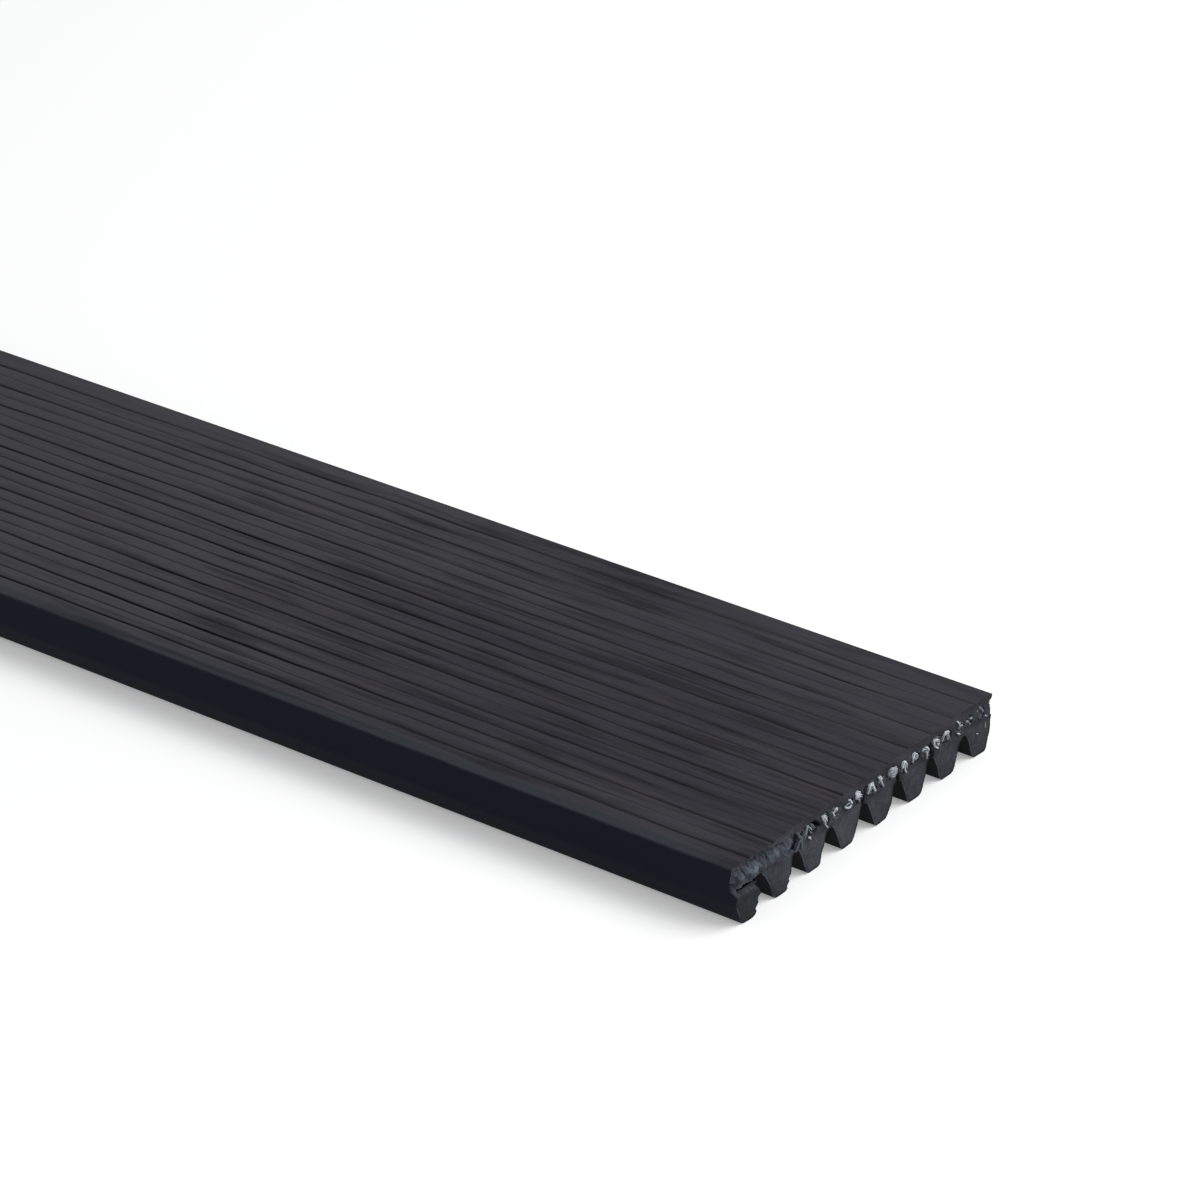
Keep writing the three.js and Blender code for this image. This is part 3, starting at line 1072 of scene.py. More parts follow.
@dataclass
class RubberBody:
    """The moulded rubber: swept along the belt, bored for its cords and cut by the knife."""

    section: BeltSection = field(default_factory=BeltSection)
    stations: int = 170
    overrun: float = 1.2
    waver: float = 0.17
    waver_length: float = 13.0
    depth_spread: float = 1.1
    worn_over: float = 40.0
    rubbed_from: float = 38.0
    rubbed_over: float = 8.0
    seed: int = 5
    knife_step: float = 0.095
    channel_sides: int = 20
    channel_waver: float = 0.012
    channel_mouth: Path2 = ((-0.8, 0.0), (-0.35, 0.5), (1.5, 1.0))
    tear_length: float = 7.0
    tear_start: float = 0.28
    tear_opening: float = 0.26
    tear_roof: float = 0.12
    tear_waver: float = 0.02
    torn_corner: Path2 = (
        (1.66, 2.3), (1.86, 2.02), (2.1, 1.8), (2.28, 1.52), (2.55, 1.36), (2.95, 1.85), (3.12, 2.2),
        (2.9, 2.42), (2.3, 2.4), (1.85, 2.38),
    )
    torn_corner_root: tuple[float, float] = (2.75, 2.25)
    torn_corner_depth: float = 0.8
    torn_corner_waver: float = 0.035
    slit_heights: tuple[float, float] = (2.1, 2.6)
    slit_end: float = -10.5
    chips: tuple[Chip, ...] = (
        Chip(7, 2.7, 0.34, 0.14), Chip(7, 1.64, 0.22, 0.1), Chip(7, 0.82, 0.2, 0.1),
        Chip(0, 1.1, 0.26, 0.06), Chip(0, 0.5, 0.3, 0.07),
        Chip(1, 0.75, 0.25, 0.07), Chip(1, 0.25, 0.24, 0.08),
    )
    chip_stretch: tuple[float, float, float] = (1.3, 0.7, 1.0)
    chip_lumpiness: float = 0.13
    reach: PaintReach = field(default_factory=PaintReach)

    def sweep_tree(self) -> ShapeTree:
        """Builds the tree that sweeps the section and lets the back's grooves waver.

        Returns:
            The tree, with inputs for the ends, the stations, the waver and the seed.
        """
        shape = ShapeTree("belt sweep")
        nodes = shape.nodes
        start, end = shape.input("Start"), shape.input("End")
        stations = shape.input("Stations", "NodeSocketInt")
        waver, waver_length = shape.input("Waver"), shape.input("Waver Length")
        depth_spread = shape.input("Depth Spread")
        back_height = shape.input("Back Height")
        seed = shape.input("Seed")
        material = shape.input("Material", "NodeSocketMaterial")
        outline = nodes.out("GeometryNodeMeshToCurve", None, {0: shape.geometry()})
        line = nodes.out("GeometryNodeCurvePrimitiveLine", None, {
            "Start": nodes.joined(start, 0.0, 0.0), "End": nodes.joined(end, 0.0, 0.0)})
        track = nodes.out("GeometryNodeResampleCurve", {"mode": "COUNT"}, {"Curve": line, "Count": stations})
        swept = nodes.out("GeometryNodeCurveToMesh", None, {
            "Curve": track, "Profile Curve": outline, "Fill Caps": True})
        x, y, z = nodes.axes(nodes.add("GeometryNodeInputPosition"))
        near_back = ((z - back_height) / (0.2 * MM) + 1.0).clamp()
        inside = nodes.math("LESS_THAN", nodes.math("ABSOLUTE", y), (SIZES.half_width - 0.5) * MM)
        drift = nodes.noise(nodes.joined(x / waver_length, y / (4.0 * MM), seed), 1.0, 1.0) - 0.5
        ripple = nodes.noise(nodes.joined(x / waver_length * 3.0, y / (1.6 * MM), seed + 7.0), 1.0, 1.0) - 0.5
        sideways = (drift * 3.0 + ripple * 1.2) * waver * near_back * inside
        fill = nodes.noise(nodes.joined(x / waver_length * 1.4, y / (0.9 * MM), seed + 3.0), 1.0, 2.0) - 0.5
        below = nodes.math("MINIMUM", z - back_height, 0.0)
        worn = (x / (self.worn_over * MM) + 0.1).clamp()
        rubbed = ((x - self.rubbed_from * MM) / (self.rubbed_over * MM)).clamp()
        rubbed = rubbed * (y / (self.rubbed_over * MM)).clamp()
        change = fill * depth_spread * (2.0 - 1.4 * rubbed) - 0.45 * worn - 0.42 * rubbed
        deeper = below * change * near_back * inside
        moved = nodes.out("GeometryNodeSetPosition", None, {
            "Geometry": swept, "Offset": nodes.joined(0.0, sideways, deeper)})
        shape.end_with(moved, material)
        return shape

    def blank(self, material: bpy.types.Material) -> bpy.types.Object:
        """Sweeps the section past the cut.

        Args:
            material: The rubber.

        Returns:
            The uncut body.
        """
        outline = self.section.outline()
        source = MeshMaker()
        source.add_line(np.column_stack([-outline, np.zeros(len(outline))]), closed=True)
        mesh = self.sweep_tree().grow(source.make("section"), {
            "Start": SIZES.plain_end * MM, "End": (SIZES.cut_end + self.overrun) * MM,
            "Stations": self.stations, "Waver": self.waver * MM, "Waver Length": self.waver_length * MM,
            "Depth Spread": self.depth_spread, "Back Height": (SIZES.height - self.section.land_crown) * MM,
            "Seed": float(self.seed), "Material": material,
        })
        return put_in_scene("belt_rubber_body", mesh)

    def knife(self) -> bpy.types.Object:
        """All that the knife took away: a block whose near face carries the relief of the cut.

        Returns:
            The block, as a cutter.
        """
        across = np.arange(-SIZES.half_width - 1, SIZES.half_width + 1 + self.knife_step, self.knife_step)
        up = np.arange(-1, SIZES.height + 1 + self.knife_step, self.knife_step)
        y, z = np.meshgrid(across, up, indexing="ij")
        block = MeshMaker()
        block.add_points(np.stack([CUT.along(y, z), y, z], axis=-1))
        index = np.arange(y.size).reshape(y.shape)
        corners = np.stack([index[:-1, :-1], index[:-1, 1:], index[1:, 1:], index[1:, :-1]], axis=-1)
        block.faces += [tuple(quad) for quad in corners.reshape(-1, 4).tolist()]
        rim = [*index[:-1, 0], *index[-1, :-1], *index[:0:-1, -1], *index[0, :0:-1]]
        places = block.points[0][rim]
        places[:, 0] = SIZES.cut_end + self.overrun + 1
        far = block.add_points(places)
        for k in range(len(rim)):
            after = (k + 1) % len(rim)
            block.faces.append((rim[k], rim[after], far + after, far + k))
        block.faces.append(tuple(far + k for k in range(len(rim))))
        return block.make("knife")

    def channels(self) -> bpy.types.Object:
        """The channels that the cords lie in, torn wider where a cord comes out of the cut.

        Returns:
            The channels, as one cutter.
        """
        tubes = []
        angles = np.linspace(0, 2 * math.pi, self.channel_sides, endpoint=False)
        for cord in range(SIZES.cord_count):
            y = SIZES.cord_centre(cord)
            radius = SIZES.cord_radius + SIZES.bond_gap
            end = float(CUT.along(y, SIZES.cord_height, fine=False))
            stations = [(end + past, torn) for past, torn in self.channel_mouth]
            if cord < SIZES.covered_cords:
                stations = [(cord_end(cord) + SIZES.bond_gap, 0.0)]
            rng = np.random.default_rng(100 + cord)
            ragged = sum(rng.normal(0, self.channel_waver) * np.sin(k * angles + rng.uniform(0, 6.28))
                         for k in (2, 3, 5))
            rings = []
            for x, torn in [(SIZES.plain_end - 1, 0.0), *stations]:
                reach = radius + torn * (self.channel_waver + ragged)
                rings.append(ring(x, y + reach * np.cos(angles), SIZES.cord_height + reach * np.sin(angles)))
            tubes.append(rings)
        return tubes_object("channels", tubes)

    def tear(self) -> bpy.types.Object:
        """The tear under the near cords, open at the cut and into the first valley.

        Returns:
            The tear, as a cutter.
        """
        top = SIZES.cord_height - SIZES.cord_radius - SIZES.bond_gap - self.tear_roof
        low = top - self.tear_opening
        start = -SIZES.half_width + self.tear_start
        valley = SIZES.rib_centre(0) + SIZES.rib_pitch / 2
        half_valley = SIZES.valley_radius / 2
        across = np.linspace(start + self.tear_opening, valley - 2 * SIZES.valley_radius, 9)
        lower = [(start, (top + low) / 2), *((y, low) for y in across),
                 (valley - half_valley, SIZES.rib_height - half_valley),
                 (valley + half_valley, SIZES.rib_height - half_valley)]
        upper = [(valley + half_valley, top), *((y, top) for y in across[::-1])]
        outline = np.array(lower + upper)
        lips = WaveField(21, 0.5, 2.4)
        rings = []
        for x in [*np.linspace(CUT.middle - self.tear_length, CUT.middle - 1.5, 14),
                  *np.linspace(CUT.middle - 1.4, SIZES.cut_end + 2, 40)]:
            near_cut = float(smooth_step(np.array(x), CUT.middle - self.tear_length, CUT.middle - 1))
            open_share = 0.1 + 0.9 * near_cut
            width_share = 0.4 + 0.6 * open_share
            y = valley + (outline[:, 0] - valley) * width_share
            z = low + (outline[:, 1] - low) * open_share
            is_lip = outline[:, 0] < valley - SIZES.valley_radius
            sway = self.tear_waver * lips.at(y + 3 * (outline[:, 1] > low + 0.01), np.full(len(y), x))
            rings.append(ring(x, y, z + sway * is_lip * open_share))
        return tubes_object("tear", [rings])

    def rib_corner(self) -> bpy.types.Object:
        """The corner that the tear took off the first rib, beside the valley.

        Returns:
            The corner, as a cutter.
        """
        places = np.array(self.torn_corner) + (-SIZES.half_width, 0.0)
        root = np.array(self.torn_corner_root) + (-SIZES.half_width, 0.0)
        lips = WaveField(22, 0.3, 1.2)
        rings = []
        for x in np.linspace(CUT.middle - self.torn_corner_depth, SIZES.cut_end + 1.5, 24):
            share = float(smooth_step(np.array(x), CUT.middle - self.torn_corner_depth - 0.4, CUT.middle))
            outline = root + (places - root) * (0.35 + 0.65 * share)
            sway = lips.at(outline.sum(axis=1), np.full(len(outline), x))
            rings.append(ring(x, *(outline + self.torn_corner_waver * sway[:, None]).T))
        return tubes_object("rib_corner", [rings])

    def corner_chips(self) -> bpy.types.Object:
        """Lumps that are missing from the cut's far corner and from the first ribs' edges.

        Returns:
            The lumps, as one cutter.
        """
        tubes = []
        angles = np.linspace(0, 2 * math.pi, 22, endpoint=False)
        tilts = np.linspace(-math.pi / 2, math.pi / 2, 13)[1:-1]
        for number, chip in enumerate(self.chips):
            z = chip.height
            flank = SIZES.rib_centre(chip.rib) + SIZES.rib_tip_width / 2 + z * SIZES.flank_slope
            edge = min(SIZES.half_width, flank)
            x = float(CUT.along(edge, z, fine=False))
            middle = np.array([x + chip.outside, edge + chip.outside, z])
            lump = WaveField(31 + number, 0.5, 1.3)
            rings = []
            for tilt in tilts:
                spoke = ring(math.sin(tilt), math.cos(tilt) * np.cos(angles), math.cos(tilt) * np.sin(angles))
                lumpy = lump.at(spoke[:, 1], math.sin(tilt) + np.sin(angles))
                reach = chip.reach * (1 + self.chip_lumpiness * lumpy)
                rings.append(middle + spoke * reach[:, None] * np.array(self.chip_stretch))
            tubes.append(rings)
        return tubes_object("chips", tubes)

    def in_slit(self, y: np.ndarray, z: np.ndarray) -> np.ndarray:
        """Whether places of the section are in the mouth of the tear."""
        low, high = self.slit_heights
        return (z > low) & (z < high) & (y < self.slit_end)

    def paint(self, mesh: bpy.types.Mesh) -> None:
        """Writes the attributes that the rubber's finish reads.

        Args:
            mesh: The finished body, in metres.
        """
        self.paint_faces(mesh)
        x, y, z = vectors_of(mesh.vertices, "co").T / MM
        reach = self.reach
        # Painted shade in the back's grooves, growing with depth under the lands.
        rubbed = smooth_step(x, -20, 20)
        start = reach.groove_start - reach.worn_start * rubbed
        full = reach.groove_full - reach.worn_full * rubbed
        drop = SIZES.height - z
        sooted = smooth_step((drop - start) / full, 0, 1)
        in_grooves = (drop < reach.back_depth) & (np.abs(y) < SIZES.half_width - reach.side_strip + 0.1)
        store(mesh, "groove", sooted * in_grooves)
        near_cut = x > HAND_CUT_FROM
        # Where rubber is smeared over the cords and over the near third's torn band; the finish paints these
        # pale, partly as painted highlight.
        fade = CUT.near_share(y) * CUT.band(z) * (1 - smooth_step(z, *reach.near_smear_top))
        smear = CUT.smear(y, z) * reach.smear_share + reach.near_smear_share * fade
        store(mesh, "smear", np.clip(smear, 0, 1) * near_cut)
        at_end = (x > CUT.along(y, z) - reach.end_depth) & (z < SIZES.cord_height)
        # A pale line on the cut along the ribs' near-facing edges: partly a burred edge, partly painted edge
        # highlight.
        burr_and_highlight, rim = np.zeros(len(x)), np.zeros(len(x))
        nearest = self.edge_distance(y[at_end], z[at_end], facing_near=True)
        burr_and_highlight[at_end] = 1 - smooth_step(nearest, *reach.burr_and_highlight)
        nearest = self.edge_distance(y[at_end], z[at_end])
        rim[at_end] = (1 - smooth_step(nearest, *reach.rim)) * (1 - burr_and_highlight[at_end])
        store(mesh, "burr_and_highlight", burr_and_highlight)
        store(mesh, "rim", rim)
        # Painted shade that deepens behind the cut face, so that hollows there go near black.
        face = np.where(self.in_slit(y, z), CUT.plane(y) + reach.end_depth, CUT.along(y, z, fine=False))
        store(mesh, "deep", smooth_step(face - x, *reach.hole) * near_cut)

    def paint_faces(self, mesh: bpy.types.Mesh) -> None:
        """Marks each face as back, slit side, cut or the inside of the tear.

        Args:
            mesh: The finished body, in metres.
        """
        reach = self.reach
        along, across, up = vectors_of(mesh.polygons, "normal").T
        x, y, z = vectors_of(mesh.polygons, "center").T / MM
        radial = np.min([np.hypot(y - SIZES.cord_centre(c), z - SIZES.cord_height)
                         for c in range(SIZES.cord_count)], axis=0)
        in_channel = radial < SIZES.cord_radius + reach.channel_margin
        skin, plane = CUT.along(y, z), CUT.plane(y)
        moulded = (np.abs(along) < 0.2) & (self.edge_distance(y, z) < reach.outline_margin)
        in_slit = self.in_slit(y, z) & ~moulded
        # The tear's inside, which the finish paints near black as shade.
        behind = (x > HAND_CUT_FROM) & (x < np.minimum(skin - reach.tear_margin, plane))
        torn = behind & in_slit & ~in_channel
        at_ends = ((x > skin - reach.cut_depth) & ~moulded) | (x < SIZES.plain_end + 0.01)
        cut = at_ends | ((x > skin - reach.channel_depth) & in_channel) | torn | ((x > plane) & in_slit)
        back = (up > 0.1) & (z > SIZES.height - reach.back_depth) & (np.abs(x) < SIZES.cut_end) & ~in_channel
        side = (np.abs(y) > SIZES.half_width - reach.side_strip) & (np.abs(across) > 0.2) & ~cut
        for name, mask in {"back": back & ~cut, "side": side & ~back, "cut": cut, "torn": torn}.items():
            store(mesh, name, mask, "FACE")

    def edge_distance(self, y: np.ndarray, z: np.ndarray, facing_near: bool = False) -> np.ndarray:
        """How far each place is from the belt's outline, below the cords or all round it.

        Args:
            y: Places across the belt.
            z: Heights over the rib tips.
            facing_near: Whether only the ribs' edges that face the near side count.

        Returns:
            Distances in millimetres.
        """
        outline = self.section.outline()
        nearest = np.full(len(y), np.inf)
        for start, end in zip(outline, np.roll(outline, -1, axis=0)):
            length = math.dist(start, end)
            steep_down = (end[1] - start[1]) / max(length, TINY) < -0.5 and start[1] < SIZES.rib_height + 0.2
            if length > TINY and (steep_down or not facing_near):
                nearest = np.minimum(nearest, segment_distance(y, z, start, end))
        return nearest

    def build(self, material: bpy.types.Material) -> None:
        """Builds, cuts and dresses the body.

        Args:
            material: The rubber.
        """
        body = self.blank(material)
        cutters = [self.knife(), self.channels(), self.tear(), self.rib_corner(), self.corner_chips()]
        for cutter in cutters:
            modifier = body.modifiers.new(cutter.name, "BOOLEAN")
            modifier.operation = "DIFFERENCE"
            modifier.solver = "MANIFOLD"
            modifier.object = cutter
        graph = bpy.context.evaluated_depsgraph_get()
        mesh = bpy.data.meshes.new_from_object(body.evaluated_get(graph))
        for spare in [body, *cutters]:
            bpy.data.objects.remove(spare)
        mesh.polygons.foreach_set("use_smooth", np.ones(len(mesh.polygons), bool))
        mesh.set_sharp_from_angle(angle=math.radians(38))
        self.paint(mesh)
        mesh.materials.clear()
        mesh.materials.append(material)
        piece = put_in_scene("belt_rubber_body", mesh)
        settle(piece, ["rubber_body"])


class FrayShape(Enum):
    """How the knife left a cord's yarn, named after what it looks like."""

    COVERED = "covered"
    THREAD = "thread"
    SUNK = "sunk"
    TONGUE = "tongue"
    HOOK = "hook"
    SWIRL = "swirl"
    BLOB = "blob"
    PLUG = "plug"
    ARCH = "arch"
    TAIL = "tail"
    RING = "ring"
    RING_TAIL = "ring with a tail"
    TEE = "tee"
    RAGGED = "ragged"
    FAINT = "faint"
    SPECKS = "specks"


@dataclass(frozen=True)
class Lock:
    """A lock of filaments: its path across, up and out of the cut from the cord's centre, in millimetres."""

    path: Path3
    filaments: int
    spread: float
    tone: float


def lock(filaments: int, spread: float, tone: float, *places: tuple[float, float], out: float = 0.11) -> Lock:
    """Makes a lock that rises out of the cord, lies on the cut through its places and dips at its end.

    Args:
        filaments: How many filaments it has.
        spread: How far they spread from its path.
        tone: How pale they are, from 0 to 1.
        *places: Points across and up from the cord's centre, as they look from the camera's side.
        out: How far the middle of the path stands out of the cut.

    Returns:
        The lock.
    """
    outs = [out * 0.6, *[out] * (len(places) - 2), out * 0.35]
    path = tuple((a - 1.4 * (o + 0.07), b + o + 0.07, o) for (a, b), o in zip(places, outs))
    return Lock(path, filaments, spread, tone)


LOCKS: dict[FrayShape, tuple[Lock, ...]] = {
    FrayShape.COVERED: (),
    FrayShape.THREAD: (
        lock(10, 0.09, 0.08, (-0.52, 0.4), (-0.32, 0.05), (-0.1, -0.22), out=0.07),
        lock(12, 0.09, 0.22, (0.5, 0.42), (0.32, 0.1), (0.02, -0.2), out=0.07),
        lock(9, 0.08, 0.0, (-0.05, -0.2), (-0.4, -0.5), (-0.72, -0.85), out=0.05),
        lock(8, 0.06, 0.0, (0.0, -0.2), (0.06, -0.6), (0.04, -0.95), out=0.05),
        lock(10, 0.055, 1.0, (0.76, -0.58), (0.86, -0.63), (0.94, -0.72)),
    ),
    FrayShape.SUNK: (
        lock(9, 0.06, 0.4, (-0.4, 0.36), (-0.2, 0.14), (0.0, -0.06), out=0.06),
        lock(8, 0.09, 0.0, (-0.3, 0.1), (-0.15, -0.2), (0.05, -0.36), out=0.05),
        lock(6, 0.08, 0.0, (-0.1, 0.3), (0.05, 0.12), (0.12, -0.1), out=0.04),
    ),
    FrayShape.TONGUE: (
        lock(20, 0.11, 1.0, (-0.4, 0.42), (-0.2, 0.15), (-0.02, -0.05), (0.06, -0.28)),
        lock(16, 0.09, 0.95, (-0.2, 0.42), (0.0, 0.22), (0.14, 0.0), (0.08, -0.2)),
        lock(10, 0.035, 0.9, (0.0, -0.2), (-0.02, -0.42), (0.1, -0.62), (0.24, -0.84)),
    ),
    FrayShape.HOOK: (
        lock(14, 0.045, 1.0, (-0.34, 0.12), (-0.12, 0.04), (0.1, 0.26), (0.3, 0.28)),
        lock(11, 0.045, 1.0, (0.28, 0.3), (0.36, 0.1), (0.26, -0.12)),
        lock(14, 0.05, 1.0, (-0.2, 0.12), (-0.14, -0.14), (0.08, -0.32)),
    ),
    FrayShape.SWIRL: (
        lock(14, 0.06, 0.95, (-0.1, 0.36), (0.12, 0.3), (0.16, 0.08), (0.4, 0.0)),
        lock(9, 0.045, 0.8, (0.1, 0.1), (-0.2, 0.02), (-0.44, -0.08)),
        lock(16, 0.06, 1.0, (-0.44, -0.1), (-0.2, -0.26), (0.1, -0.38), (0.42, -0.38)),
    ),
    FrayShape.BLOB: (
        lock(20, 0.1, 1.0, (-0.2, 0.3), (0.1, 0.36), (0.34, 0.16)),
        lock(20, 0.1, 1.0, (-0.22, 0.1), (0.05, 0.08), (0.36, -0.06)),
        lock(16, 0.09, 0.9, (-0.16, -0.08), (0.08, -0.16), (0.32, -0.26)),
        lock(7, 0.06, 0.45, (0.1, -0.25), (0.28, -0.42), (0.36, -0.56)),
    ),
    FrayShape.PLUG: (
        lock(20, 0.11, 1.0, (-0.32, 0.16), (-0.1, 0.34), (0.18, 0.34), out=0.1),
        lock(22, 0.12, 0.95, (-0.36, 0.0), (-0.05, 0.08), (0.3, 0.14), out=0.12),
        lock(22, 0.12, 0.9, (-0.3, -0.18), (-0.02, -0.14), (0.32, -0.04), out=0.12),
        lock(18, 0.1, 0.8, (-0.12, -0.34), (0.06, -0.36), (0.3, -0.24), out=0.1),
    ),
    FrayShape.ARCH: (
        lock(18, 0.09, 0.95, (-0.3, -0.38), (-0.36, 0.05), (-0.24, 0.34), (0.1, 0.36)),
        lock(17, 0.09, 0.9, (-0.02, 0.36), (0.2, 0.22), (0.28, -0.1), (0.36, -0.4)),
        lock(10, 0.09, 0.85, (-0.2, 0.3), (0.0, 0.24), (0.14, 0.1)),
        lock(8, 0.08, 0.5, (-0.14, 0.16), (-0.04, -0.06), (-0.1, -0.26), out=0.06),
    ),
    FrayShape.TAIL: (
        lock(20, 0.11, 1.0, (-0.2, 0.42), (-0.06, 0.28), (0.06, 0.1)),
        lock(12, 0.08, 0.95, (-0.02, 0.44), (0.08, 0.28), (0.12, 0.1)),
        lock(8, 0.06, 0.6, (-0.02, 0.2), (-0.16, 0.1), (-0.28, 0.02)),
        lock(12, 0.055, 0.85, (0.02, 0.14), (0.12, -0.1), (0.26, -0.36), (0.42, -0.62)),
    ),
    FrayShape.RING: (
        lock(14, 0.08, 0.85, (-0.1, -0.42), (-0.3, -0.16), (-0.32, 0.14), (-0.16, 0.34)),
        lock(16, 0.09, 1.0, (-0.22, 0.3), (0.04, 0.34), (0.28, 0.12), (0.34, -0.16)),
        lock(11, 0.08, 0.6, (0.34, -0.1), (0.2, -0.26), (0.02, -0.16), (-0.06, 0.02)),
        lock(6, 0.07, 0.4, (0.1, 0.1), (0.24, -0.02), (0.3, -0.24), out=0.06),
    ),
    FrayShape.RING_TAIL: (
        lock(15, 0.08, 0.9, (0.02, -0.12), (-0.22, 0.0), (-0.2, 0.26), (0.04, 0.36)),
        lock(16, 0.08, 1.0, (-0.04, 0.38), (0.22, 0.32), (0.38, 0.04), (0.3, -0.18)),
        lock(12, 0.05, 0.85, (0.16, 0.1), (0.22, -0.2), (0.26, -0.46), (0.36, -0.7)),
        lock(6, 0.08, 0.5, (-0.3, 0.2), (-0.12, 0.12), (0.06, 0.1), out=0.05),
    ),
    FrayShape.TEE: (
        lock(9, 0.08, 0.55, (-0.36, 0.14), (-0.16, 0.24), (0.06, 0.14)),
        lock(18, 0.09, 1.0, (0.0, 0.3), (0.2, 0.22), (0.26, -0.02), (0.18, -0.16)),
        lock(11, 0.045, 0.8, (0.02, 0.0), (0.14, -0.28), (0.22, -0.56), (0.38, -0.86)),
        lock(5, 0.07, 0.4, (-0.1, 0.02), (0.06, -0.12), (0.3, -0.3), out=0.05),
    ),
    FrayShape.RAGGED: (
        lock(11, 0.05, 1.0, (-0.22, 0.62), (-0.14, 0.46), (0.0, 0.34)),
        lock(10, 0.06, 0.75, (-0.1, 0.28), (0.02, 0.14), (-0.08, -0.02)),
        lock(7, 0.05, 0.5, (0.2, 0.06), (0.4, -0.02), (0.48, -0.14)),
        lock(12, 0.055, 1.0, (-0.12, -0.4), (0.04, -0.48), (0.2, -0.6)),
    ),
    FrayShape.FAINT: (
        lock(8, 0.06, 0.55, (-0.26, 0.02), (-0.12, 0.08), (0.02, 0.0)),
        lock(8, 0.06, 0.5, (0.14, 0.16), (0.26, 0.1), (0.4, 0.12)),
        lock(5, 0.05, 0.35, (0.1, -0.26), (0.22, -0.3), (0.3, -0.4)),
    ),
    FrayShape.SPECKS: (
        lock(8, 0.1, 0.3, (0.0, 0.34), (0.18, 0.2), (0.26, -0.02), out=0.06),
        lock(10, 0.05, 0.9, (0.7, -0.5), (0.78, -0.58), (0.88, -0.66)),
        lock(9, 0.06, 0.6, (0.72, -1.06), (0.76, -1.24), (0.7, -1.42), out=0.07),
        lock(6, 0.04, 0.55, (-0.32, -1.42), (-0.26, -1.48), (-0.2, -1.52), out=0.05),
        lock(8, 0.05, 0.55, (1.02, 0.5), (1.1, 0.36), (1.06, 0.2), out=0.04),
    ),
}


@dataclass(frozen=True)
class CutCord:
    """How one cord ends at the cut: the shape of its fray, its size, its turn and how bright it is."""

    shape: FrayShape
    size: float = 0.82
    turn: float = 0.0
    bright: float = 1.0


CORD_ENDS: tuple[CutCord, ...] = (
    CutCord(FrayShape.COVERED), CutCord(FrayShape.COVERED), CutCord(FrayShape.COVERED),
    CutCord(FrayShape.COVERED), CutCord(FrayShape.COVERED),
    CutCord(FrayShape.THREAD, 1.0),
    CutCord(FrayShape.SUNK, 1.0),
    CutCord(FrayShape.TONGUE),
    CutCord(FrayShape.HOOK, 0.74),
    CutCord(FrayShape.SWIRL),
    CutCord(FrayShape.BLOB, 0.78, bright=0.95),
    CutCord(FrayShape.ARCH),
    CutCord(FrayShape.TAIL),
    CutCord(FrayShape.PLUG, 0.82, 0.1, 0.62),
    CutCord(FrayShape.RING_TAIL),
    CutCord(FrayShape.RING, bright=0.95),
    CutCord(FrayShape.TEE),
    CutCord(FrayShape.RING, 0.74, 0.3, 0.9),
    CutCord(FrayShape.ARCH, 0.85, -0.12, 0.95),
    CutCord(FrayShape.RAGGED, 0.95),
    CutCord(FrayShape.FAINT, 0.9, bright=0.85),
    CutCord(FrayShape.SPECKS, 1.0, bright=0.8),
)


def cord_end(cord: int) -> float:
    """Where a cord ends along the belt: proud of the cut, drawn back, or hidden behind smeared rubber.

    Args:
        cord: The cord's number from 0.

    Returns:
        The place along the belt, in millimetres.
    """
    plane = float(CUT.plane(SIZES.cord_centre(cord)))
    shape = CORD_ENDS[cord].shape
    if shape is FrayShape.COVERED:
        return plane - 0.3
    if shape is FrayShape.SUNK:
        return plane - 0.4
    return min(plane + 0.16 + 0.1 * math.sin(cord * 2.4), SIZES.cut_end)


